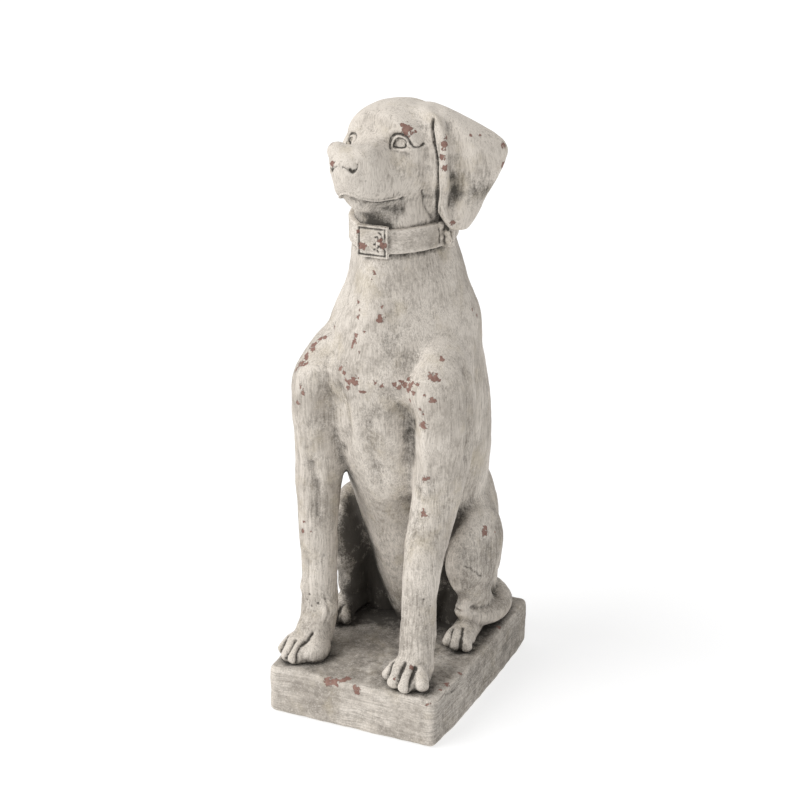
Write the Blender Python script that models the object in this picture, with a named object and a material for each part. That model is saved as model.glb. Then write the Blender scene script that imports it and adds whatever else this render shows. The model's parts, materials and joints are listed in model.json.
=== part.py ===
import math

import bmesh
import bpy
import numpy as np
from mathutils import Matrix, Vector
from mathutils.bvhtree import BVHTree

# Garden statue of a sitting hound, cast in one piece with its plinth.
# The dog looks along -Y, its left side is +X, and the origin is the middle
# of the plinth's underside.

# Driving sizes, in metres.
PLINTH_WIDTH = 0.229
PLINTH_DEPTH = 0.310
PLINTH_HEIGHT = 0.066
PLINTH_EDGE = 0.004
PLINTH_CORNER = 0.005
PLINTH_SWELL = 0.005
FIGURE_HEIGHT = 0.720
COLLAR_HEIGHT = 0.029
COLLAR_PROUD = 0.004
STRAP_EDGE = 0.0012
BUCKLE_WIDTH = 0.041
BUCKLE_HEIGHT = 0.040
BUCKLE_BAR = 0.006
BUCKLE_PROUD = 0.005
KEEPER_WIDTH = 0.012
GRAIN = 0.0026
TRIANGLES = 7000

# The figure's proportions are parts of its own height, 720 to the crown,
# with x and y from the middle and z from the top of the plinth.
PART = FIGURE_HEIGHT / 720
HEAD_ROLL = math.radians(5.5)
HEAD_TURN = math.radians(10)
HEAD_PIVOT = 640


def place(x, y, z):
    return Vector((x * PART, y * PART, PLINTH_HEIGHT + z * PART))


def posed(point):
    # The head leans and looks a little to the dog's right.
    pivot = place(0, 0, HEAD_PIVOT)
    pose = Matrix.Rotation(-HEAD_TURN, 3, "Z") @ Matrix.Rotation(-HEAD_ROLL, 3, "Y")
    return pivot + pose @ (point - pivot)


def mirrored(rows):
    return [(-row[0],) + tuple(row[1:]) for row in rows]


# Forms follow stations of (x, y, z, half width, half depth), and where they
# aren't plain ellipses also squareness and how far the front narrows.
TORSO = [
    (0, 92, -24, 40, 50, 2.2, 0.0),
    (0, 90, 0, 46, 58, 2.2, 0.5),
    (0, 70, 54, 60, 80, 2.2, 0.6),
    (0, 58, 134, 76, 94, 2.2, 0.5),
    (0, 44, 214, 90, 104, 2.2, 0.4),
    (1, 32, 264, 95, 114, 2.2, 0.3),
    (1, 18, 314, 97, 116, 2.2, 0.15),
    (0, 3, 364, 95, 116, 2.2, 0.05),
    (0, 2, 400, 92, 111, 2.1, 0.1),
    (2, 3, 444, 87, 103, 2.0, 0.15),
    (2, 4, 484, 72, 92, 2.0, 0.25),
    (-1, 3, 534, 61, 79, 2.0, 0.25),
    (1, 1, 570, 58, 76, 2.0, 0.2),
    (2, 4, 610, 54, 71, 2.0, 0.1),
    (0, 8, 640, 48, 62, 2.0, 0.0),
]
HAUNCH = [
    (38, 74, 236, 30, 46),
    (43, 82, 190, 35, 56),
    (52, 88, 140, 38, 60),
    (54, 92, 60, 36, 56),
    (52, 90, 0, 34, 50),
]
SHOULDER_BLADE = [
    (40, 18, 462, 22, 34),
    (58, 12, 424, 30, 46),
    (64, -6, 380, 32, 50),
    (66, -20, 330, 26, 40),
]
RIGHT_FORELEG = [
    (-38, -6, 430, 24, 40),
    (-54, -24, 408, 31, 44),
    (-71, -50, 374, 38, 50),
    (-79, -58, 336, 37, 51),
    (-81, -56, 295, 34, 47),
    (-82, -60, 262, 32, 41),
    (-82, -68, 236, 30, 34),
    (-81, -74, 199, 26, 29),
    (-80, -77, 159, 24, 26),
    (-79, -77, 119, 23, 24),
    (-78, -78, 89, 22, 23),
    (-78, -80, 61, 24, 24),
    (-78, -86, 40, 23, 24),
    (-80, -96, 22, 24, 26),
]
LEFT_FORELEG = [
    (40, -6, 430, 24, 40),
    (59, -24, 408, 32, 46),
    (76, -52, 376, 39, 52),
    (81, -52, 335, 37, 52),
    (79, -50, 290, 34, 47),
    (75, -54, 250, 32, 40),
    (72, -60, 220, 29, 33),
    (70, -74, 184, 27, 28),
    (70, -88, 157, 25, 26),
    (70, -96, 128, 23, 24),
    (70, -100, 100, 22, 22),
    (70, -104, 60, 23, 23),
    (70, -108, 36, 22, 22),
    (70, -112, 20, 24, 24),
]
THIGH = [
    (58, 94, 112, 30, 46),
    (72, 74, 117, 34, 64),
    (80, 50, 116, 33, 74),
    (84, 24, 108, 29, 66),
    (84, 2, 98, 22, 48),
]
SHIN = [
    (84, 8, 96, 20, 26),
    (88, 36, 60, 17, 22),
    (86, 58, 36, 16, 20),
    (82, 78, 18, 17, 18),
]
HIND_FOOT = [
    (80, 84, 12, 15, 14),
    (83, 40, 14, 16, 15),
    (86, 8, 15, 17, 16),
    (86, -12, 12, 18, 13),
]
TAIL = [
    (10, 138, 22, 20, 20),
    (44, 136, 18, 18, 18),
    (76, 126, 18, 16, 17),
    (96, 100, 19, 14, 17),
    (101, 72, 20, 14, 17),
    (98, 46, 24, 14, 16),
    (90, 24, 31, 12, 14),
    (81, 10, 42, 10, 11),
    (83, 12, 54, 9, 9),
    (91, 25, 58, 9, 8),
]
RIGHT_TOES = [(-60, -124, 8), (-76, -140, 9), (-94, -140, 9), (-110, -124, 8)]
LEFT_TOES = [(43, -130, 8), (59, -147, 9), (78, -150, 9), (96, -135, 9)]
LEFT_HIND_TOES = [(73, -18, 7), (87, -27, 8), (101, -21, 7)]

# The head's own forms, before it is turned to its pose.
HEAD = [
    (2, 54, 644, 26, 30, 2.0, 0.0),
    (3, 38, 646, 42, 47, 2.0, 0.0),
    (3, 14, 650, 53, 56, 2.0, 0.0),
    (2, -12, 650, 57, 61, 2.1, 0.0),
    (1, -27, 647, 55, 61, 2.3, 0.0),
    (0, -40, 643, 50, 58, 2.4, 0.0),
    (0, -50, 642, 42, 50, 2.3, 0.0),
    (0, -59, 642, 35, 42, 2.2, 0.0),
    (0, -69, 643, 33, 36, 2.4, 0.0),
    (-1, -80, 643, 32, 31, 2.8, 0.0),
    (-1, -92, 644, 32, 30, 3.2, 0.0),
    (-1, -102, 643, 30, 30, 3.2, 0.0),
    (-1, -109, 642, 21, 27, 2.9, 0.0),
]
CHEEK = [
    (28, -14, 628, 30, 42),
    (25, -36, 627, 28, 37),
    (21, -56, 624, 23, 29),
    (17, -76, 624, 19, 25),
    (14, -94, 625, 16, 20),
    (11, -105, 626, 12, 14),
]
LOWER_JAW = [
    (0, -20, 597, 46, 30),
    (0, -46, 599, 33, 25),
    (0, -66, 601, 23, 18),
    (0, -82, 604, 18, 14),
    (0, -95, 606, 15, 11),
]
LEFT_EAR_ROOT = [
    (44, -8, 694, 13, 15),
    (54, -14, 674, 13, 14),
    (57, -15, 640, 12, 13),
    (56, -15, 610, 12, 12),
    (53, -12, 586, 10, 10),
]
RIGHT_EAR_ROOT = [
    (-50, -6, 664, 12, 14),
    (-55, -12, 640, 12, 13),
    (-55, -13, 610, 11, 12),
    (-53, -10, 586, 10, 10),
]
# Front edge and back edge of an ear, from its root down to its tip.
LEFT_EAR = [
    ((37, -17, 704), (30, 24, 702)),
    ((58, -23, 696), (56, 30, 691)),
    ((65, -24, 682), (82, 42, 675)),
    ((67, -24, 665), (103, 53, 659)),
    ((67, -23, 644), (114, 57, 642)),
    ((65, -23, 622), (108, 50, 619)),
    ((63, -22, 604), (99, 42, 600)),
    ((61, -21, 586), (91, 32, 582)),
    ((63, -17, 570), (86, 21, 565)),
    ((68, -9, 555), (80, 8, 551)),
]
RIGHT_EAR = [
    ((-30, -2, 690), (-30, 26, 692)),
    ((-46, -10, 684), (-50, 28, 685)),
    ((-55, -20, 668), (-66, 32, 670)),
    ((-59, -29, 650), (-74, 36, 648)),
    ((-58, -28, 620), (-76, 32, 618)),
    ((-56, -24, 592), (-72, 22, 590)),
    ((-60, -12, 562), (-68, 4, 560)),
]
EAR_HALF_THICKNESS = 5.5

# The collar's middle on the neck, and its rise towards the front.
COLLAR_STATION = (1, 1, 554)
COLLAR_SLOPE = 0.06
NECK_HALF_WIDTH = 61
NECK_HALF_DEPTH = 77
BUCKLE_SIDE = -3
BUCKLE_TURN = math.radians(3)

# Strokes of (x, y, z, radius, rise) that swell or sink the surface.
BODY_STROKES = [
    (0, -118, 398, 60, 6),
    (62, -112, 386, 34, 6),
    (-58, -112, 384, 34, 6),
    (92, -92, 368, 40, 4),
    (-92, -92, 368, 40, 4),
    (-48, -104, 344, 34, -7),
    (42, -100, 344, 34, -7),
    (0, -96, 470, 60, 4),
    (0, -92, 520, 40, 3),
    (100, -20, 330, 46, -4),
    (-100, -20, 330, 46, -4),
    (60, 60, 420, 60, 5),
    (-60, 60, 420, 60, 4),
    (0, 118, 400, 70, -4),
    (110, 60, 120, 44, 2),
    (-110, 60, 120, 44, 2),
]
HEAD_STROKES = [
    (0, -40, 708, 20, -2),
    (31, -50, 667, 15, -4.5),
    (-31, -50, 667, 15, -4.5),
    (41, -52, 640, 14, 2),
    (-41, -52, 640, 14, 2),
]
# Lines on the left of the face, from the middle out: place, then half width.
UPPER_LID = [(25, -60, 662, 1.0), (27, -54, 669, 1.8), (33, -48, 675, 2.3), (40, -44, 672, 2.3),
             (46, -38, 663, 1.9), (54, -29, 660, 1.0)]
LOWER_LID = [(26, -58, 660, 0.9), (33, -51, 658, 1.5), (41, -45, 658, 1.5), (47, -37, 661, 0.9)]
LIP = [(1, -116, 621, 1.6), (9, -115, 614, 2.6), (19, -104, 607, 3.0), (26, -88, 601, 3.0),
       (32, -73, 598, 2.8), (36, -64, 600, 2.2), (38, -58, 605, 1.2)]
NOSTRIL = [(10, -119, 648, 2.2), (14, -116, 649, 2.0), (18, -111, 653, 1.0)]
EYE = (29.5, -41.5, 666.5)
EYE_SIZES = (9.5, 9.5, 7.5)
PHILTRUM = [(0, -122, 642, 1.2), (0, -121, 632, 1.4), (0, -116, 620, 1.6)]


def through(rows, steps):
    # A smooth run of rows through the given ones.
    rows = np.array(rows, float)
    padded = np.vstack([2 * rows[0] - rows[1], rows, 2 * rows[-1] - rows[-2]])
    run = []
    for i in range(len(rows) - 1):
        a, b, c, d = padded[i:i + 4]
        for t in np.arange(steps) / steps:
            run.append(0.5 * (2 * b + (c - a) * t + (2 * a - 5 * b + 4 * c - d) * t ** 2
                              + (3 * b - a - 3 * c + d) * t ** 3))
    run.append(rows[-1])
    return np.array(run)


def skin(bm, rings):
    # Walls between neighbouring rings, and a face over each end.
    made = [[bm.verts.new(point) for point in ring] for ring in rings]
    for low, high in zip(made, made[1:]):
        for i in range(len(low)):
            j = (i + 1) % len(low)
            bm.faces.new((low[i], low[j], high[j], high[i]))
    bm.faces.new(list(reversed(made[0])))
    bm.faces.new(made[-1])


def section(width, depth, square, narrow, points):
    # An oval, squared and with a narrowed front as asked.
    oval = []
    for angle in np.linspace(0, 2 * math.pi, points, endpoint=False):
        c = math.cos(angle)
        s = math.sin(angle)
        c = math.copysign(abs(c) ** (2 / square), c)
        s = math.copysign(abs(s) ** (2 / square), s)
        oval.append((c * (1 - narrow * max(0.0, -s) ** 1.5) * width, s * depth))
    return oval


def limb(bm, stations, side=(1, 0, 0), steps=4, points=32, turn=None):
    # A rounded form along its stations, with a domed cap at each end.
    full = [list(row) + [2.0, 0.0][len(row) - 5:] for row in stations]
    run = through(full, steps)
    centres = [place(*row[:3]) for row in run]
    last = len(run) - 1

    def ring_at(i, share, shift):
        ahead = (centres[min(i + 1, last)] - centres[max(i - 1, 0)]).normalized()
        across = Vector(side)
        across = (across - ahead * across.dot(ahead)).normalized()
        back = ahead.cross(across)
        width, depth, square, narrow = run[i][3:7]
        middle = centres[i] + ahead * shift * min(width, depth) * PART
        ring = []
        for x, y in section(width * share, depth * share, square, narrow, points):
            point = middle + (across * x + back * y) * PART
            ring.append(turn(point) if turn else point)
        return ring

    caps = [math.radians(angle) for angle in (80, 60, 40, 20)]
    rings = [ring_at(0, math.cos(cap), -0.7 * math.sin(cap)) for cap in caps]
    rings += [ring_at(i, 1.0, 0.0) for i in range(last + 1)]
    rings += [ring_at(last, math.cos(cap), 0.7 * math.sin(cap)) for cap in reversed(caps)]
    skin(bm, rings)


def ball(bm, centre, sizes, turn=None, detail=4):
    # An egg shape with its three half sizes in parts.
    made = bmesh.ops.create_icosphere(bm, subdivisions=detail, radius=1.0)["verts"]
    middle = place(*centre)
    for vert in made:
        local = Vector((vert.co.x * sizes[0], vert.co.y * sizes[1], vert.co.z * sizes[2]))
        point = middle + local * PART
        vert.co = turn(point) if turn else point


def ear(bm, rows):
    # A hanging leaf: a rolled front rim, a hollow behind it, then a broad flap.
    run = through([list(front) + list(back) for front, back in rows], 4)
    side = math.copysign(1.0, rows[-1][0][0])
    rings = []
    for row in run:
        front, back = row[:3], row[3:]
        span = back - front
        width = np.linalg.norm(span)
        outward = np.cross(span, (0, 0, 1.0))
        outward *= math.copysign(1.0, outward[0] * side) / np.linalg.norm(outward)
        outer = []
        inner = []
        for t in np.linspace(0, 1, 14):
            bow = width * (0.10 * math.sin(math.pi * t) + 0.07 * math.exp(-((t - 0.08) / 0.08) ** 2)
                           - 0.12 * math.exp(-((t - 0.27) / 0.11) ** 2))
            thick = EAR_HALF_THICKNESS * (1 - 0.3 * abs(2 * t - 1) ** 6)
            middle = front + span * t + outward * bow
            outer.append(posed(place(*(middle + outward * thick))))
            inner.append(posed(place(*(middle - outward * thick * (1.8 - 0.8 * t)))))
        rings.append(outer + inner[::-1])
    skin(bm, rings)


def paw(bm, hub, tips, rise, half_width, half_height):
    # Arched toes that fan out from a point inside the paw.
    for tip in tips:
        middle = [hub[i] * 0.42 + tip[i] * 0.58 for i in range(3)]
        limb(bm, [
            tuple(hub) + (half_width, half_height),
            (middle[0], middle[1], rise, half_width * 1.04, half_height * 1.08),
            tuple(tip) + (half_width * 0.92, half_height * 0.85),
        ], steps=3, points=20)


def figure(bm):
    limb(bm, TORSO)
    limb(bm, RIGHT_FORELEG)
    limb(bm, LEFT_FORELEG)
    for rows in (HAUNCH, SHOULDER_BLADE, THIGH, SHIN, HIND_FOOT):
        limb(bm, rows)
        limb(bm, mirrored(rows))
    limb(bm, TAIL, side=(0, 0, 1))
    ball(bm, (-84, 34, 50), (18, 34, 34))
    ball(bm, (-81, -106, 12), (24, 30, 17))
    ball(bm, (71, -118, 12), (23, 27, 16))
    paw(bm, (-80, -98, 18), RIGHT_TOES, 21, 10, 11)
    paw(bm, (70, -108, 18), LEFT_TOES, 21, 10, 11)
    paw(bm, (86, 0, 15), LEFT_HIND_TOES, 17, 8, 9)
    paw(bm, (-86, 0, 15), mirrored(LEFT_HIND_TOES), 17, 8, 9)


def head(bm):
    limb(bm, HEAD, turn=posed)
    limb(bm, LOWER_JAW, turn=posed)
    ear(bm, LEFT_EAR)
    ear(bm, RIGHT_EAR)
    ball(bm, (54, 4, 684), (22, 24, 15), turn=posed)
    for rows in (CHEEK, mirrored(CHEEK), LEFT_EAR_ROOT, RIGHT_EAR_ROOT):
        limb(bm, rows, turn=posed)
    for side in (1, -1):
        ball(bm, (29 * side, -34, 678), (18, 16, 15), turn=posed)
        ball(bm, (11 * side, -111, 651), (8, 8, 9), turn=posed)
        ball(bm, (17 * side - 1, -88, 663), (13, 25, 11), turn=posed)
    ball(bm, (0, -111, 656), (13, 10, 10), turn=posed)
    ball(bm, (0, 44, 612), (42, 34, 44), turn=posed)


def collar(bm):
    # A flat strap round the neck, its edges a little worn.
    x, y, z = COLLAR_STATION
    wide = NECK_HALF_WIDTH * PART + COLLAR_PROUD
    deep = NECK_HALF_DEPTH * PART + COLLAR_PROUD
    up = Vector((0, COLLAR_SLOPE, 1)).normalized()
    back = Vector((0, 1, -COLLAR_SLOPE)).normalized()
    half = COLLAR_HEIGHT / 2
    flat = half - STRAP_EDGE
    rings = []
    for height, inset in ((-half, STRAP_EDGE), (-flat, 0), (flat, 0), (half, STRAP_EDGE)):
        middle = place(x, y, z) + up * height
        oval = section(wide - inset, deep - inset, 2.0, 0.18, 40)
        rings.append([middle + Vector((a, 0, 0)) + back * b for a, b in oval])
    skin(bm, rings)


def fitted(bm, middle, pose, lift):
    # Sets a fitting's points on the strap, this far out from its surface.
    x, y, z = COLLAR_STATION
    deep = NECK_HALF_DEPTH * PART + COLLAR_PROUD
    front = place(x + BUCKLE_SIDE, y, z) + Vector((0, -deep - lift, COLLAR_SLOPE * deep))
    for vert in bm.verts:
        vert.co = front + pose @ (middle + vert.co)


def strap_pose():
    return Matrix.Rotation(BUCKLE_TURN, 3, "Z") @ Matrix.Rotation(-math.atan(COLLAR_SLOPE), 3, "X")


def worn_block(bm, width, depth, height):
    made = bmesh.ops.create_cube(bm, size=1.0)["verts"]
    for vert in made:
        vert.co = Vector((vert.co.x * width, vert.co.y * depth, vert.co.z * height))
    bmesh.ops.bevel(bm, geom=list(bm.edges), offset=STRAP_EDGE, segments=2, profile=0.5, affect="EDGES")


def buckle(bm):
    # A rectangular frame on the front of the collar, with the strap sunk in it.
    worn_block(bm, BUCKLE_WIDTH, BUCKLE_PROUD * 2, BUCKLE_HEIGHT)
    front = max(bm.faces, key=lambda face: -face.normal.y * face.calc_area())
    bmesh.ops.inset_region(bm, faces=[front], thickness=BUCKLE_BAR - STRAP_EDGE, depth=0)
    bmesh.ops.inset_region(bm, faces=[front], thickness=BUCKLE_PROUD * 0.1, depth=-BUCKLE_PROUD * 0.7)
    fitted(bm, Vector((0, 0, 0)), strap_pose(), 0.0)


def tongue(bm):
    # The buckle's prong, over the strap.
    worn_block(bm, BUCKLE_WIDTH * 0.3, BUCKLE_PROUD * 1.4, BUCKLE_HEIGHT * 0.26)
    offset = Vector((BUCKLE_WIDTH * 0.28, 0, -BUCKLE_HEIGHT * 0.06))
    fitted(bm, offset, strap_pose(), BUCKLE_PROUD * 0.3)


def keeper(bm):
    # The loop that holds the strap, on the dog's left under its ear.
    worn_block(bm, COLLAR_PROUD * 3, KEEPER_WIDTH, COLLAR_HEIGHT)
    x, y, z = COLLAR_STATION
    middle = place(x, y - 12, z) + Vector((NECK_HALF_WIDTH * PART + COLLAR_PROUD, 0, -STRAP_EDGE * 2))
    turn = Matrix.Rotation(math.radians(-8), 3, "Z")
    for vert in bm.verts:
        vert.co = middle + turn @ vert.co


def quarter(radius):
    # Points on a quarter circle, from its side to its top.
    turns = [math.radians(angle) for angle in (0, 30, 60, 90)]
    return [(radius * math.cos(a), radius * math.sin(a)) for a in turns]


def plinth_outline(inset):
    # Anticlockwise round the plinth from its front left corner.
    wide = PLINTH_WIDTH / 2 - PLINTH_CORNER
    long = PLINTH_DEPTH / 2 - PLINTH_CORNER
    radius = PLINTH_CORNER - inset
    bow = [(PLINTH_SWELL * (1 - t * t), long * t) for t in np.linspace(-1, 1, 9)[1:-1]]
    points = [(wide + b, -long - a) for a, b in quarter(radius)]
    points += [(wide + radius + out, y) for out, y in bow]
    points += [(wide + a, long + b) for a, b in quarter(radius)]
    points += [(-wide - b, long + a) for a, b in quarter(radius)]
    points += [(-wide - radius - out, -y) for out, y in bow]
    points += [(-wide - a, -long - b) for a, b in quarter(radius)]
    return points


def plinth(bm):
    # A block whose long sides swell a little, with rounded corners and edges.
    low = PLINTH_EDGE * 0.4
    levels = [(low - b, low - a) for a, b in reversed(quarter(low))]
    top = PLINTH_HEIGHT - PLINTH_EDGE
    levels += [(top + b, PLINTH_EDGE - a) for a, b in quarter(PLINTH_EDGE)]
    rings = []
    for height, inset in levels:
        rings.append([Vector((x, y, height)) for x, y in plinth_outline(inset)])
    skin(bm, rings)


def stone():
    material = bpy.data.materials.new("limewashed_cast_stone")
    material.use_nodes = True
    shader = material.node_tree.nodes["Principled BSDF"]
    shader.inputs["Base Color"].default_value = (0.55, 0.52, 0.48, 1.0)
    shader.inputs["Roughness"].default_value = 0.85
    shader.inputs["Metallic"].default_value = 0.0
    return material


def shaped(name, *builders):
    # A closed mesh object from functions that add to it.
    mesh = bpy.data.meshes.new(name)
    bm = bmesh.new()
    for builder in builders:
        builder(bm)
    bmesh.ops.recalc_face_normals(bm, faces=bm.faces)
    bm.to_mesh(mesh)
    bm.free()
    thing = bpy.data.objects.new(name, mesh)
    bpy.context.scene.collection.objects.link(thing)
    return thing


def bake(thing):
    # Puts the effect of an object's modifiers into its mesh.
    bpy.context.view_layer.update()
    graph = bpy.context.evaluated_depsgraph_get()
    mesh = bpy.data.meshes.new_from_object(thing.evaluated_get(graph))
    old = thing.data
    thing.modifiers.clear()
    thing.data = mesh
    bpy.data.meshes.remove(old)


def join(thing, name, builder, operation="UNION"):
    # Unites another form with the object, or cuts it out of the object.
    other = shaped(name, builder)
    unite = thing.modifiers.new("Unite", "BOOLEAN")
    unite.operation = operation
    unite.object = other
    bake(thing)
    bpy.data.objects.remove(other, do_unlink=True)


def face_line(thing, tree, name, path, lift, operation="UNION"):
    # Adds or cuts a line and its twin on the other side of the face.
    join(thing, name, lambda bm: cord(bm, tree, path, lift), operation)
    if path[-1][0] > 0:
        join(thing, name, lambda bm: cord(bm, tree, mirrored(path), lift), operation)


def eye(bm, side):
    ball(bm, (EYE[0] * side, EYE[1], EYE[2]), EYE_SIZES, turn=posed, detail=3)


def positions(mesh):
    flat = np.empty(len(mesh.vertices) * 3)
    mesh.vertices.foreach_get("co", flat)
    return flat.reshape(-1, 3)


def move(mesh, points):
    mesh.vertices.foreach_set("co", points.ravel())
    mesh.update()


def press(mesh, amounts):
    # Moves each point out along its normal, in parts.
    flat = np.empty(len(mesh.vertices) * 3)
    mesh.vertex_normals.foreach_get("vector", flat)
    move(mesh, positions(mesh) + flat.reshape(-1, 3) * amounts[:, None] * PART)


def relax(mesh, weights, rounds):
    # Draws each point towards its neighbours, as far as its weight says.
    pairs = np.empty(len(mesh.edges) * 2, int)
    mesh.edges.foreach_get("vertices", pairs)
    first, second = pairs.reshape(-1, 2).T
    points = positions(mesh)
    count = np.bincount(pairs, minlength=len(points))[:, None]
    for _ in range(rounds):
        total = np.zeros_like(points)
        for axis in range(3):
            total[:, axis] = np.bincount(first, points[second, axis], len(points))
            total[:, axis] += np.bincount(second, points[first, axis], len(points))
        points += (total / count - points) * weights[:, None] * 0.5
    move(mesh, points)


def swell(mesh, strokes, turn=None):
    # Raises or sinks the surface round each stroke's centre.
    for x, y, z, radius, amount in strokes:
        spot = place(x, y, z)
        points = positions(mesh)
        spot = np.array(turn(spot) if turn else spot)
        centre = points[np.argmin(np.linalg.norm(points - spot, axis=1))]
        far = np.linalg.norm(points - centre, axis=1) / (radius * PART)
        press(mesh, np.clip(1 - far ** 2, 0, 1) ** 2 * amount)


def cord(bm, tree, path, lift, points=6):
    # A rounded line that follows the surface, tapered at its ends.
    run = through(path, 2)
    spots = [tree.find_nearest(posed(place(*row[:3]))) for row in run]
    last = len(run) - 1
    rings = []
    for i, row in enumerate(run):
        ahead = (spots[min(i + 1, last)][0] - spots[max(i - 1, 0)][0]).normalized()
        out = spots[i][1]
        out = (out - ahead * out.dot(ahead)).normalized()
        across = ahead.cross(out)
        radius = row[3] * PART
        middle = spots[i][0] + out * radius * lift
        for reach, share in ((-0.6, 0.5), (0.0, 1.0), (0.6, 0.5)):
            if (i == 0) <= (reach <= 0) and (i == last) <= (reach >= 0) and (reach == 0 or i in (0, last)):
                ring = [(out * math.cos(a) + across * math.sin(a)) * radius * share + middle + ahead * radius * reach
                        for a in np.linspace(0, 2 * math.pi, points, endpoint=False)]
                rings.append(ring)
    skin(bm, rings)


def heights(mesh):
    return (positions(mesh)[:, 2] - PLINTH_HEIGHT) / PART


def facing(mesh):
    # Marks the points of the face.
    points = positions(mesh)
    return (heights(mesh) > 592) & (points[:, 1] < -26 * PART) & (np.abs(points[:, 0]) < 58 * PART)


def sharpen(mesh):
    # Gives the face twice as many points each way.
    face = facing(mesh)
    bm = bmesh.new()
    bm.from_mesh(mesh)
    chosen = [edge for edge in bm.edges if face[edge.verts[0].index] and face[edge.verts[1].index]]
    bmesh.ops.subdivide_edges(bm, edges=chosen, cuts=1, use_grid_fill=True)
    bmesh.ops.triangulate(bm, faces=bm.faces)
    bm.to_mesh(mesh)
    bm.free()


def carve(mesh):
    swell(mesh, BODY_STROKES)
    swell(mesh, HEAD_STROKES, turn=posed)


def thin(thing):
    # Fewer, larger facets where the surface is plain.
    mesh = thing.data
    keep = np.where(heights(mesh) > 570, 0.4, 0.0)
    keep = np.where(heights(mesh) < 50, 0.5, keep)
    keep = np.where(facing(mesh), 0.8, keep)
    group = thing.vertex_groups.new(name="detail")
    for level in (0.4, 0.5, 0.8):
        group.add([int(i) for i in np.flatnonzero(keep == level)], level, "REPLACE")
    fewer = thing.modifiers.new("Fewer", "DECIMATE")
    fewer.ratio = TRIANGLES / len(mesh.polygons)
    fewer.vertex_group = group.name
    fewer.vertex_group_factor = 0.0001
    fewer.invert_vertex_group = True
    bake(thing)
    thing.vertex_groups.clear()


def main():
    for thing in list(bpy.data.objects):
        bpy.data.objects.remove(thing, do_unlink=True)
    statue = shaped("dog_statue", figure, head)
    fuse = statue.modifiers.new("Fuse", "REMESH")
    fuse.mode = "VOXEL"
    fuse.voxel_size = GRAIN
    bake(statue)
    height = heights(statue.data)
    softness = np.where((height > 575) & (height < 692), 0.5, 1.0)
    softness = np.where(height < 50, 0.12, softness)
    relax(statue.data, softness, 16)
    sharpen(statue.data)
    relax(statue.data, np.where(facing(statue.data), 0.6, 0.0), 3)
    carve(statue.data)
    thin(statue)
    for side in (1, -1):
        join(statue, "eye", lambda bm: eye(bm, side))
    face = BVHTree.FromObject(statue, bpy.context.evaluated_depsgraph_get())
    face_line(statue, face, "upper_lid", UPPER_LID, 0.1)
    face_line(statue, face, "lower_lid", LOWER_LID, -0.1)
    face_line(statue, face, "lip", LIP, 0.0)
    face_line(statue, face, "nostril", NOSTRIL, 0.0, "DIFFERENCE")
    face_line(statue, face, "philtrum", PHILTRUM, 0.3, "DIFFERENCE")
    join(statue, "plinth", plinth)
    join(statue, "collar", collar)
    join(statue, "buckle", buckle)
    join(statue, "tongue", tongue)
    join(statue, "keeper", keeper)
    statue.data.materials.clear()
    statue.data.materials.append(stone())
    statue.data.shade_smooth()
    statue.data.set_sharp_from_angle(angle=math.radians(38))


main()
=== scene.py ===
import json
import math

import bmesh
import bpy
import numpy as np
from mathutils import Matrix, Vector, noise
from mathutils.bvhtree import BVHTree

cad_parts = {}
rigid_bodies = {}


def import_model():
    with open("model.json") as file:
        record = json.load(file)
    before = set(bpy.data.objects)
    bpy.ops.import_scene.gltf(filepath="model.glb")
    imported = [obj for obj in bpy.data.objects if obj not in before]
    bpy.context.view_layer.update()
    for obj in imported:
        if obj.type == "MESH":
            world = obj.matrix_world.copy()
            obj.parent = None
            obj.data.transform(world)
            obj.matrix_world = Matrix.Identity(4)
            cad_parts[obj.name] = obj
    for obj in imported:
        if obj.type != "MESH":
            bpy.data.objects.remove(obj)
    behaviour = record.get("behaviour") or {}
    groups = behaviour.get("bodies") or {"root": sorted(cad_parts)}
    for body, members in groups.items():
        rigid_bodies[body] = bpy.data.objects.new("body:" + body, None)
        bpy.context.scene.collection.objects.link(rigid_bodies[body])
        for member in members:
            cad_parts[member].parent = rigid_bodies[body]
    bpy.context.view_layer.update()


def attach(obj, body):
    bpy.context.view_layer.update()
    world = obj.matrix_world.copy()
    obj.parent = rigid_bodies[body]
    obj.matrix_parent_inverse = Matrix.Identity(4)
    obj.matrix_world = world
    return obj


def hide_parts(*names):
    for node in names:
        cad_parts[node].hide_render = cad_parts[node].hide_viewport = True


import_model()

scene = bpy.context.scene

# The dog looks along -Y and its left side is +X. Body measures are in
# millimetres: x and y from the middle, z from the top of the plinth.
plinthTop = 0.066
headPose = {"roll": 5.5, "turn": 10.0, "pivot": 640}

cameraSettings = {
    "target": (-0.0020, -0.0009, 0.3897),
    "distance": 2.7421,
    "azimuth": 24.795,
    "elevation": 22.265,
    "lens": 99.0,
}

lightSettings = {"sky": 0.64, "sun": 2.15, "softness": 46, "from": (-0.63, -0.66, 0.82)}

floorSettings = {"radius": 60, "grey": 0.40, "glow": 0.66, "roughness": 0.9}


# small helpers

def deselectAll():
    for thing in bpy.context.view_layer.objects:
        thing.select_set(False)


def makeActive(thing):
    deselectAll()
    thing.select_set(True)
    bpy.context.view_layer.objects.active = thing


def placed(x, y, z):
    return Vector((x / 1000, y / 1000, plinthTop + z / 1000))


def poseMatrix():
    return (Matrix.Rotation(-math.radians(headPose["turn"]), 3, "Z")
            @ Matrix.Rotation(-math.radians(headPose["roll"]), 3, "Y"))


def posed(point):
    pivot = placed(0, 0, headPose["pivot"])
    return pivot + poseMatrix() @ (point - pivot)


def mirrored(rows):
    return [(-row[0],) + tuple(row[1:]) for row in rows]


def mirroredLines(lines):
    return [(width, depth, wash, mirrored(path)) for width, depth, wash, path in lines]


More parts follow.
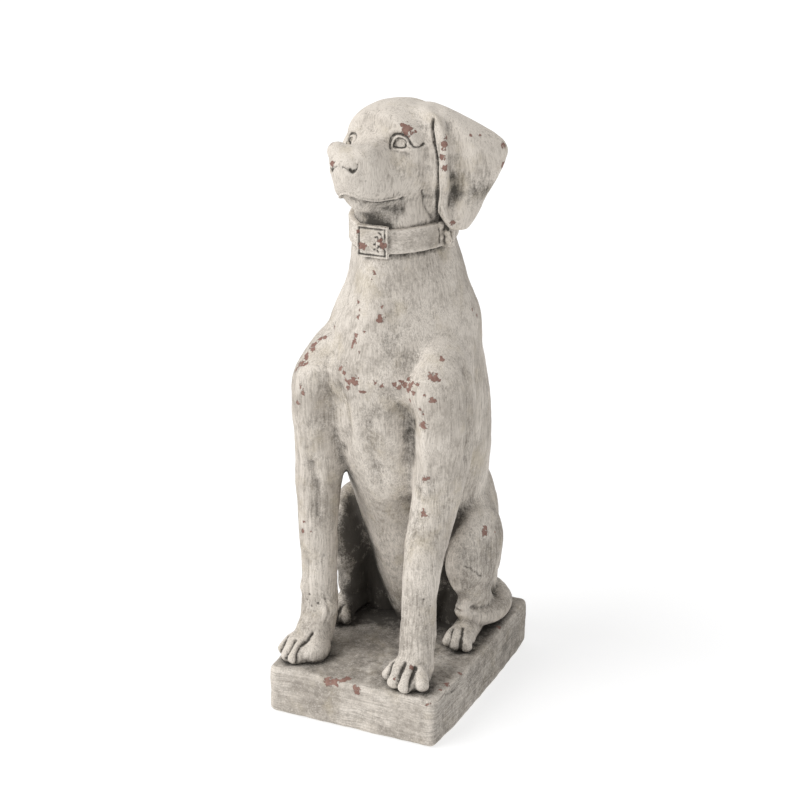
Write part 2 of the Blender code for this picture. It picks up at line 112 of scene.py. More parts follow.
def through(rows, steps):
    # a smooth run of rows through the given ones
    rows = np.array(rows, float)
    padded = np.vstack([2 * rows[0] - rows[1], rows, 2 * rows[-1] - rows[-2]])
    run = []
    for i in range(len(rows) - 1):
        a, b, c, d = padded[i:i + 4]
        for t in np.arange(steps) / steps:
            run.append(0.5 * (2 * b + (c - a) * t + (2 * a - 5 * b + 4 * c - d) * t ** 2
                              + (3 * b - a - 3 * c + d) * t ** 3))
    run.append(rows[-1])
    return np.array(run)


def skinned(name, rings):
    # a closed form through rings of points
    bm = bmesh.new()
    made = [[bm.verts.new(point) for point in ring] for ring in rings]
    for low, high in zip(made, made[1:]):
        for i in range(len(low)):
            j = (i + 1) % len(low)
            bm.faces.new((low[i], low[j], high[j], high[i]))
    bm.faces.new(list(reversed(made[0])))
    bm.faces.new(made[-1])
    bmesh.ops.recalc_face_normals(bm, faces=bm.faces)
    mesh = bpy.data.meshes.new(name)
    bm.to_mesh(mesh)
    bm.free()
    thing = bpy.data.objects.new(name, mesh)
    scene.collection.objects.link(thing)
    return thing


def oval(width, depth, square, narrow, points):
    ring = []
    for angle in np.linspace(0, 2 * math.pi, points, endpoint=False):
        c, s = math.cos(angle), math.sin(angle)
        c = math.copysign(abs(c) ** (2 / square), c)
        s = math.copysign(abs(s) ** (2 / square), s)
        ring.append((c * (1 - narrow * max(0.0, -s) ** 1.5) * width, s * depth))
    return ring


def limb(rows, side=(1, 0, 0), steps=5, points=48, turn=None):
    # rows of (x, y, z, half width, half depth), and for some squareness and narrow front
    run = through([list(row) + [2.0, 0.0][len(row) - 5:] for row in rows], steps)
    centres = [placed(*row[:3]) for row in run]
    last = len(run) - 1

    def ringAt(i, share, shift):
        ahead = (centres[min(i + 1, last)] - centres[max(i - 1, 0)]).normalized()
        across = Vector(side)
        across = (across - ahead * across.dot(ahead)).normalized()
        back = ahead.cross(across)
        width, depth, square, narrow = run[i][3:7]
        middle = centres[i] + ahead * shift * min(width, depth) / 1000
        ring = [middle + (across * x + back * y) / 1000
                for x, y in oval(width * share, depth * share, square, narrow, points)]
        return [turn(point) for point in ring] if turn else ring

    caps = [math.radians(angle) for angle in (84, 70, 56, 42, 28, 14)]
    rings = [ringAt(0, math.cos(cap), -0.7 * math.sin(cap)) for cap in caps]
    rings += [ringAt(i, 1.0, 0.0) for i in range(last + 1)]
    rings += [ringAt(last, math.cos(cap), 0.7 * math.sin(cap)) for cap in reversed(caps)]
    return skinned("limb", rings)


def ball(centre, sizes, turned=False):
    middle = placed(*centre)
    deselectAll()
    bpy.ops.mesh.primitive_uv_sphere_add(segments=40, ring_count=24, radius=0.001,
                                         location=posed(middle) if turned else middle,
                                         rotation=poseMatrix().to_euler() if turned else (0, 0, 0),
                                         scale=sizes)
    thing = bpy.context.active_object
    bpy.ops.object.transform_apply(location=True, rotation=True, scale=True)
    return thing


def fuse(things, name, grain):
    # joins closed forms and melts them into one skin
    deselectAll()
    for thing in things:
        thing.select_set(True)
    bpy.context.view_layer.objects.active = things[0]
    if len(things) > 1:
        bpy.ops.object.join()
    whole = bpy.context.active_object
    whole.name = name
    whole.data.name = name
    melt = whole.modifiers.new("Melt", "REMESH")
    melt.mode = "VOXEL"
    melt.voxel_size = grain
    bpy.ops.object.modifier_apply(modifier=melt.name)
    return whole


def positions(mesh):
    flat = np.empty(len(mesh.vertices) * 3, np.float32)
    mesh.vertices.foreach_get("co", flat)
    return flat.reshape(-1, 3).astype(float)


def normals(mesh):
    flat = np.empty(len(mesh.vertices) * 3, np.float32)
    mesh.vertex_normals.foreach_get("vector", flat)
    return flat.reshape(-1, 3).astype(float)


def move(mesh, points):
    mesh.vertices.foreach_set("co", points.astype(np.float32).ravel())
    mesh.update()


def press(mesh, amounts):
    # out along the normals, in millimetres
    move(mesh, positions(mesh) + normals(mesh) * amounts[:, None] / 1000)


def edgePairs(mesh):
    pairs = np.empty(len(mesh.edges) * 2, np.int32)
    mesh.edges.foreach_get("vertices", pairs)
    return pairs.reshape(-1, 2).T


def averaged(values, pairs, weights, rounds):
    # draws each point's values towards its neighbours'
    first, second = pairs
    size = len(values)
    values = values.reshape(size, -1).astype(float)
    count = np.bincount(first, minlength=size) + np.bincount(second, minlength=size)
    count = np.maximum(count, 1)[:, None]
    for _ in range(rounds):
        total = np.empty_like(values)
        for axis in range(values.shape[1]):
            total[:, axis] = (np.bincount(first, values[second, axis], size)
                              + np.bincount(second, values[first, axis], size))
        values = values + (total / count - values) * weights[:, None] * 0.5
    return values


def relax(mesh, weights, rounds):
    move(mesh, averaged(positions(mesh), edgePairs(mesh), weights, rounds))


def heights(mesh):
    return (positions(mesh)[:, 2] - plinthTop) * 1000


def surfaceOf(thing):
    return BVHTree.FromObject(thing, bpy.context.evaluated_depsgraph_get())


def surfaceOfAll(things):
    # one surface of several pieces, from joined copies
    deselectAll()
    copies = []
    for thing in things:
        twin = thing.copy()
        twin.data = thing.data.copy()
        scene.collection.objects.link(twin)
        twin.select_set(True)
        copies.append(twin)
    bpy.context.view_layer.objects.active = copies[0]
    bpy.ops.object.join()
    tree = surfaceOf(copies[0])
    bpy.data.objects.remove(copies[0])
    return tree


def soften(thing, patches, turn=None):
    # smooths round patches of (x, y, z, radius, rounds)
    for x, y, z, radius, rounds in patches:
        spot = placed(x, y, z)
        spot = np.array(turn(spot) if turn else spot)
        far = np.linalg.norm(positions(thing.data) - spot, axis=1) * 1000 / radius
        relax(thing.data, np.exp(-far ** 2), rounds)


def swell(thing, strokes, turn=None):
    # strokes of (x, y, z, radius, rise)
    tree = surfaceOf(thing)
    for x, y, z, radius, rise in strokes:
        spot = placed(x, y, z)
        centre = np.array(tree.find_nearest(turn(spot) if turn else spot)[0])
        far = np.linalg.norm(positions(thing.data) - centre, axis=1) * 1000 / radius
        press(thing.data, np.clip(1 - far ** 2, 0, 1) ** 2 * rise)


def awayFrom(points, route, reach):
    # each point's distance from a route of points, up to a reach
    away = np.full(len(points), reach)
    low, high = route.min(axis=0) - reach, route.max(axis=0) + reach
    near = np.flatnonzero(np.all((points > low) & (points < high), axis=1))
    least = away[near]
    for a, b in zip(route, route[1:]):
        along = np.clip((points[near] - a) @ (b - a) / max((b - a) @ (b - a), 1e-12), 0, 1)
        least = np.minimum(least, np.linalg.norm(points[near] - a - along[:, None] * (b - a), axis=1))
    away[near] = least
    return away


def addMask(mesh, name, values):
    layer = mesh.attributes.get(name) or mesh.attributes.new(name, "FLOAT", "POINT")
    held = np.empty(len(mesh.vertices), np.float32)
    layer.data.foreach_get("value", held)
    layer.data.foreach_set("value", np.clip(held + values, -3, 1.2).astype(np.float32))


def carve(thing, lines, turn=None, spread=1.15):
    # lines of (width, depth, wash and shade, path) laid on the surface; a negative depth is a ridge. The
    # third value darkens along the line, as dark wash in the groove together with painted shade; a negative
    # one lightens it as a painted highlight
    tree = surfaceOf(thing)
    for width, depth, wash, path in lines:
        spots = [placed(*row) for row in through(path, 4)]
        route = np.array([tree.find_nearest(turn(spot) if turn else spot)[0] for spot in spots])
        away = awayFrom(positions(thing.data), route, width * 0.0045) * 1000
        press(thing.data, -depth * np.exp(-(away / width) ** 2))
        addMask(thing.data, "line", wash * np.exp(-(away / (width * spread)) ** 2))


def dent(thing, spots, turn=None):
    # spots of (x, y, z, radius, depth, wash and shade); the last darkens the spot as dark wash together with
    # painted shade, and a negative one lightens it as a painted highlight
    tree = surfaceOf(thing)
    for x, y, z, radius, depth, wash in spots:
        spot = placed(x, y, z)
        centre = np.array(tree.find_nearest(turn(spot) if turn else spot)[0])
        far = np.linalg.norm(positions(thing.data) - centre, axis=1) * 1000 / radius
        fall = np.clip(1 - (far / 1.6) ** 2, 0, 1) ** 2
        press(thing.data, -depth * fall)
        addMask(thing.data, "line", wash * fall)


def cutAt(thing, height, keepAbove):
    # slices a piece level at a height above the plinth and closes it
    makeActive(thing)
    bpy.ops.object.mode_set(mode="EDIT")
    bpy.ops.mesh.select_all(action="SELECT")
    bpy.ops.mesh.bisect(plane_co=(0, 0, plinthTop + height / 1000), plane_no=(0, 0, 1), use_fill=True,
                        clear_inner=keepAbove, clear_outer=not keepAbove)
    bpy.ops.object.mode_set(mode="OBJECT")


def thin(thing, triangles):
    # fewer faces where the surface is plain
    mesh = thing.data
    mesh.calc_loop_triangles()
    now = len(mesh.loop_triangles)
    if now > triangles:
        makeActive(thing)
        lighter = thing.modifiers.new("Thin", "DECIMATE")
        lighter.ratio = triangles / now
        bpy.ops.object.modifier_apply(modifier=lighter.name)
    mesh = thing.data
    mesh.calc_loop_triangles()
    print(thing.name, now, "to", len(mesh.loop_triangles), "triangles")


def cord(tree, path, lift=0.0, turn=None, points=14, steps=5):
    # a rounded line that follows the surface; rows of (x, y, z, radius)
    run = through(path, steps)
    spots = [tree.find_nearest(turn(placed(*row[:3])) if turn else placed(*row[:3])) for row in run]
    last = len(run) - 1
    rings = []
    for i, row in enumerate(run):
        ahead = (spots[min(i + 1, last)][0] - spots[max(i - 1, 0)][0]).normalized()
        out = spots[i][1]
        out = (out - ahead * out.dot(ahead)).normalized()
        across = ahead.cross(out)
        radius = row[3] / 1000
        middle = spots[i][0] + out * radius * lift
        ends = [(0.0, 1.0)]
        if i == 0:
            ends = [(-0.8, 0.4), (-0.5, 0.8), (0.0, 1.0)]
        if i == last:
            ends = [(0.0, 1.0), (0.5, 0.8), (0.8, 0.4)]
        for reach, share in ends:
            rings.append([middle + ahead * radius * reach
                          + (out * math.cos(a) + across * math.sin(a)) * radius * share
                          for a in np.linspace(0, 2 * math.pi, points, endpoint=False)])
    return skinned("cord", rings)


# the body: torso, legs, paws and tail

body = {
    "grain": 0.0021, "cutAbove": 558, "triangles": 192000,
    "pawHeight": 50, "pawSmoothing": 0.12, "smoothingRounds": 25,
    "shade": 1.0, "topStain": 0.0, "paintedSideShade": 0.0, "material": "bodyLimewash",
    "brush": {"stretch": (400, 400, 12), "wander": 0.45, "soil": 0.05, "brushed": 1.0, "mottled": 1.0},
    "torso": [
        (0, 92, -24, 40, 50, 2.2, 0.0), (0, 90, 0, 46, 58, 2.2, 0.5), (0, 70, 54, 60, 80, 2.2, 0.6),
        (0, 58, 134, 76, 94, 2.2, 0.5), (0, 44, 214, 90, 104, 2.2, 0.4), (1, 32, 264, 95, 114, 2.2, 0.3),
        (1, 18, 314, 97, 116, 2.2, 0.15), (0, 3, 364, 95, 116, 2.2, 0.05), (0, 2, 400, 92, 111, 2.1, 0.1),
        (2, 3, 444, 87, 103, 2.0, 0.15), (2, 4, 484, 72, 92, 2.0, 0.25), (-1, 3, 534, 61, 79, 2.0, 0.25),
        (1, 1, 570, 58, 76, 2.0, 0.2),
    ],
    "neck": [
        (-1, 3, 534, 61, 79, 2.0, 0.25), (1, 1, 570, 58, 76, 2.0, 0.2), (2, 4, 610, 54, 71, 2.0, 0.1),
        (0, 8, 640, 48, 62, 2.0, 0.0),
    ],
    "haunch": [(38, 74, 236, 30, 46), (43, 82, 190, 35, 56), (52, 88, 140, 38, 60), (54, 92, 60, 36, 56),
               (52, 90, 0, 34, 50)],
    "blade": [(40, 18, 462, 22, 34), (58, 12, 424, 30, 46), (64, -6, 380, 32, 50), (66, -20, 330, 26, 40)],
    "rightForeleg": [
        (-38, -6, 430, 24, 40), (-54, -24, 408, 31, 44), (-71, -50, 374, 38, 50), (-79, -58, 336, 37, 51),
        (-81, -56, 295, 34, 47), (-82, -60, 262, 32, 41), (-82, -68, 236, 30, 34), (-81, -74, 199, 26, 29),
        (-80, -77, 159, 24, 26), (-79, -77, 119, 23, 24), (-78, -78, 89, 22, 23), (-78, -80, 61, 24, 24),
        (-78, -86, 40, 23, 24), (-80, -96, 22, 24, 26),
    ],
    "leftForeleg": [
        (40, -6, 430, 24, 40), (59, -24, 408, 32, 46), (76, -52, 376, 39, 52), (81, -52, 335, 37, 52),
        (79, -50, 290, 34, 47), (75, -54, 250, 32, 40), (72, -60, 220, 29, 33), (70, -74, 184, 27, 28),
        (70, -88, 157, 25, 26), (70, -96, 128, 23, 24), (70, -100, 100, 22, 22), (70, -104, 60, 23, 23),
        (70, -108, 36, 22, 22), (70, -112, 20, 24, 24),
    ],
    "thigh": [(58, 94, 112, 30, 46), (72, 74, 117, 34, 64), (80, 50, 116, 33, 74), (84, 24, 108, 29, 66),
              (84, 2, 98, 22, 48)],
    "shin": [(84, 8, 96, 20, 26), (88, 36, 60, 17, 22), (86, 58, 36, 16, 20), (82, 78, 18, 17, 18)],
    "hindFoot": [(80, 84, 12, 15, 14), (83, 40, 14, 16, 15), (86, 8, 15, 17, 16), (86, -12, 12, 18, 13)],
    "tail": [
        (10, 138, 22, 20, 20), (44, 136, 18, 18, 18), (76, 126, 18, 16, 17), (96, 100, 19, 14, 17),
        (101, 72, 20, 14, 17), (98, 46, 24, 14, 16), (90, 24, 31, 12, 14), (81, 10, 42, 10, 11),
        (83, 12, 54, 9, 9), (91, 25, 58, 9, 8),
    ],
    "pads": [((-84, 34, 50), (18, 34, 34)), ((-86, -112, 11), (25, 31, 19)), ((-68, -112, 13), (17, 25, 18)),
             ((68, -121, 11), (26, 28, 18)), ((86, -2, 10), (18, 20, 14)), ((-86, -2, 10), (18, 20, 14)),
             ((-61, -95, 60), (8, 10, 15)), ((-90, -92, 88), (10, 10, 15)), ((84, -104, 92), (9, 10, 16))],
    "paws": [  # hub, tips, rise, half width and half height of a toe
        ((-80, -98, 18), "rightToes", 20, 9.5, 11), ((70, -108, 18), "leftToes", 20, 9.2, 11),
        ((86, 0, 15), "hindToes", 17, 8, 9),
    ],
    "rightToes": [(-72, -131, 10), (-85, -142, 9), (-97, -138, 8), (-108, -125, 8)],
    "leftToes": [(40, -129, 8), (55, -146, 9), (73, -151, 9), (93, -140, 10)],
    "hindToes": [(71, -18, 7), (86, -27, 8), (101, -21, 7)],
    "strokes": [
        (0, -118, 398, 60, 6), (62, -112, 386, 34, 6), (-58, -112, 384, 34, 6), (92, -92, 368, 40, 4),
        (-92, -92, 368, 40, 4), (-48, -104, 344, 34, -7), (42, -100, 344, 34, -7), (0, -96, 470, 60, 4),
        (0, -92, 520, 40, 3), (100, -20, 330, 46, -4), (-100, -20, 330, 46, -4), (60, 60, 420, 60, 5),
        (-60, 60, 420, 60, 4), (0, 118, 400, 70, -4), (110, 60, 120, 44, 2), (-110, 60, 120, 44, 2),
        (-57, -86, 62, 13, 4), (70, -96, 44, 22, 1.5), (112, -6, 330, 40, 2), (-112, -6, 330, 40, 2),
    ],
    "lines": [
        # grooves and ridges; the dark wash along the creases is partly painted shade, as the shadow over the
        # top of each thigh
        (7.0, 3.2, 0.10, [(-40, -84, 285), (-22, -102, 323), (-24, -108, 353), (-34, -110, 376)]),
        (8.0, 4.0, 0.12, [(43, -80, 281), (49, -88, 315), (46, -92, 345), (36, -105, 372)]),
        (9.0, 3.2, 0.05, [(108, -52, 402), (113, -58, 376), (115, -60, 350), (114, -58, 320),
                          (106, -56, 290)]),
        (9.0, 3.2, 0.05, [(-108, -52, 402), (-113, -58, 376), (-115, -58, 340), (-108, -54, 300)]),
        (9.0, 3.2, 0.14, [(68, 0, 160), (78, 10, 180), (92, 30, 186), (99, 58, 176), (96, 92, 150)]),
        (9.0, 3.2, 0.14, [(-68, 0, 160), (-78, 10, 180), (-92, 30, 186), (-99, 58, 176), (-96, 92, 150)]),
        (6.0, 2.8, 0.30, [(-77, -98, 263), (-72, -99, 241), (-72, -96, 236), (-70, -98, 238),
                          (-69, -99, 195)]),
        (6.0, 1.8, 0.08, [(62, -96, 250), (60, -100, 215), (61, -104, 180)]),
        (6.0, -2.2, 0.0, [(78, -100, 330), (76, -98, 290), (75, -94, 250)]),
        (6.0, -2.0, 0.0, [(-90, -98, 300), (-88, -98, 260), (-86, -96, 220)]),
        (9.0, -2.6, 0.0, [(-88, -104, 380), (-60, -108, 392), (-24, -111, 396), (2, -117, 384),
                          (38, -105, 392), (61, -104, 390), (88, -93, 402)]),
        (11.0, -2.2, 0.0, [(0, -84, 540), (-2, -90, 500), (-4, -104, 455), (-4, -112, 410)]),
        (12.0, 2.0, 0.12, [(26, -90, 505), (32, -92, 460), (34, -98, 425)]),
        (10.0, 2.4, 0.10, [(20, -104, 368), (8, -112, 330), (6, -100, 290), (10, -80, 230)]),
        (9.0, -2.0, 0.0, [(-16, -110, 350), (-12, -106, 310), (-8, -92, 250)]),
        # painted shadow: a dark line round the neck under the collar's lower edge
        (3.0, 0.6, 0.55, [(-60, 16, 536), (-55, -28, 536), (-42, -58, 536), (-20, -74, 536), (0, -78, 536),
                          (14, -76, 536), (30, -64, 536), (46, -44, 536), (56, -22, 536), (61, 2, 536),
                          (57, 32, 536), (38, 62, 536), (0, 80, 536), (-38, 62, 536), (-60, 16, 536)]),
    ],
    "pits": [(-86, -101, 73, 1.6, 0.8, 0.5), (-78, -103, 67, 1.4, 0.8, 0.5), (-70, -101, 72, 1.6, 0.8, 0.5),
             (-82, -101, 82, 1.3, 0.7, 0.5), (-74, -101, 60, 1.4, 0.7, 0.5), (83, -116, 117, 1.5, 0.8, 0.5),
             (89, -110, 107, 1.4, 0.8, 0.5), (91, -97, 93, 1.5, 0.8, 0.4), (78, -117, 96, 1.6, 0.8, 0.4)],
    "soft": [(-55, -98, 382, 13, 30), (-57, -104, 372, 10, 20)],
    "toeLines": [
        (2.2, 1.2, 0.16, [(-60, -97, 78), (-57, -99, 60), (-60, -103, 44)]),
        (1.4, 0.8, 0.38, [(95, -18, 121), (98, -15, 118), (101, -11, 116), (103, -8, 111), (105, -3, 108),
                          (106, 1, 102), (107, 6, 99)]),
        (1.9, 3.6, 1.0, [(-88, -130, 29), (-90, -141, 20), (-94, -146, 8)]),
        (2.0, 3.8, 1.0, [(-71, -116, 35), (-75, -131, 29), (-79, -142, 19), (-79, -145, 5)]),
        (1.8, 3.0, 0.9, [(-103, -120, 26), (-105, -130, 16), (-107, -133, 6)]),
        (1.8, 3.2, 1.0, [(47, -126, 27), (46, -135, 16), (46, -139, 3)]),
        (1.9, 3.6, 1.0, [(65, -132, 32), (65, -148, 18), (64, -153, 4)]),
        (2.2, 4.2, 1.0, [(80, -134, 31), (83, -148, 20), (82, -153, 4)]),
        (1.2, 1.2, 0.7, [(66, -4, 25), (68, -16, 16), (69, -22, 4)]),
    ],
    "hindToeLines": [
        (1.5, 2.8, 1.0, [(78, -12, 27), (80, -25, 17), (80, -30, 3)]),
        (1.5, 2.8, 1.0, [(90, -8, 27), (94, -22, 19), (94, -27, 3)]),
    ],
    # dents, the dented ones with dark wash and painted shade; the flat ones under the belly, between the legs
    # and down the left foreleg and thigh are painted shade, and the two negative ones on the chest are
    # painted highlights
    "dentsWashShadeAndHighlights": [
        (-56, -102, 377, 22, 3.0, 0.26), (-66, -104, 320, 15, 2.8, 0.22), (-54, -92, 300, 14, 2.2, 0.20),
        (36, -98, 342, 15, 2.5, 0.22), (46, -90, 318, 12, 1.5, 0.15), (-30, -106, 365, 13, 1.5, 0.10),
        (28, -96, 440, 15, 0.9, 0.20), (37, -90, 452, 13, 0.6, 0.18), (24, -104, 418, 14, 0.8, 0.20),
        (12, -104, 404, 12, 0.4, 0.12), (44, -84, 412, 15, 0.6, 0.14), (6, -110, 352, 16, 0.5, 0.14),
        (14, -106, 318, 15, 0.5, 0.14), (-76, -104, 300, 12, 0.4, 0.16), (-44, -78, 470, 14, 0.4, 0.10),
        (60, -62, 470, 16, 0.5, 0.10), (92, -60, 300, 18, 0.5, 0.14), (84, -70, 240, 14, 0.4, 0.14),
        (-74, -96, 130, 14, 0.4, 0.12), (68, -112, 100, 14, 0.4, 0.12), (96, -20, 130, 16, 0.6, 0.22),
        (100, 30, 110, 18, 0.8, 0.14), (106, 0, 84, 10, 0.5, 0.2), (96, -6, 92, 10, 0.4, 0.2),
        (70, 20, 20, 20, 0.0, 0.4), (-66, 0, 120, 38, 0.0, 1.0), (-66, 10, 50, 36, 0.0, 1.0),
        (0, 30, 40, 44, 0.0, 0.9), (44, 20, 60, 36, 0.0, 0.75), (-30, 30, 130, 40, 0.0, 0.6),
        (60, -6, 150, 24, 0.0, 0.4), (-80, -20, 160, 26, 0.0, 0.5), (104, 50, 60, 24, 0.4, 0.25),
        (108, 20, 128, 18, 0.3, 0.15), (104, 66, 150, 22, 0.4, 0.15), (90, -6, 74, 10, 0.5, 0.3),
        (98, 60, 330, 22, 0.4, 0.25), (-98, 60, 330, 22, 0.4, 0.25), (60, 96, 300, 22, 0.5, 0.25),
        (-60, 96, 300, 22, 0.5, 0.25), (0, 108, 250, 24, 0.4, 0.2), (30, 90, 470, 16, 0.4, 0.25),
        (76, -86, 262, 26, 0.0, 0.13), (72, -92, 206, 26, 0.0, 0.14), (72, -108, 140, 26, 0.0, 0.15),
        (70, -118, 70, 26, 0.0, 0.16), (98, 4, 128, 28, 0.0, 0.14), (100, 40, 90, 26, 0.0, 0.14),
        (0, -108, 430, 34, 0.0, -0.12), (-20, -90, 490, 30, 0.0, -0.12),
    ],
}


def paw(hub, tips, rise, width, height):
    toes = []
    for tip in tips:
        middle = [hub[i] * 0.42 + tip[i] * 0.58 for i in range(3)]
        toes.append(limb([
            tuple(hub) + (width, height),
            (middle[0], middle[1], rise, width * 1.04, height * 1.08),
            tuple(tip) + (width * 0.92, height * 0.85),
        ], steps=4, points=28))
    return toes


def makeBody():
    forms = [limb(body["torso"]), limb(body["rightForeleg"]), limb(body["leftForeleg"])]
    for key in ("haunch", "blade", "thigh", "shin", "hindFoot"):
        forms += [limb(body[key]), limb(mirrored(body[key]))]
    forms.append(limb(body["tail"], side=(0, 0, 1)))
    forms += [ball(*row) for row in body["pads"]]
    for hub, tips, *sizes in body["paws"]:
        forms += paw(hub, body[tips], *sizes)
    hub, tips, *sizes = body["paws"][-1]
    forms += paw(mirrored([hub])[0], mirrored(body[tips]), *sizes)
    whole = fuse(forms, "statueBody", body["grain"])
    high = heights(whole.data)
    relax(whole.data, np.where(high < body["pawHeight"], body["pawSmoothing"], 1.0), body["smoothingRounds"])
    swell(whole, body["strokes"])
    cutAt(whole, body["cutAbove"], False)
    carve(whole, body["lines"], spread=1.5)
    soften(whole, body["soft"])
    carve(whole, body["toeLines"] + body["hindToeLines"] + mirroredLines(body["hindToeLines"]))
    dent(whole, body["dentsWashShadeAndHighlights"] + body["pits"])
    print("body form", len(whole.data.vertices))
    return whole


# the head with its neck and ears

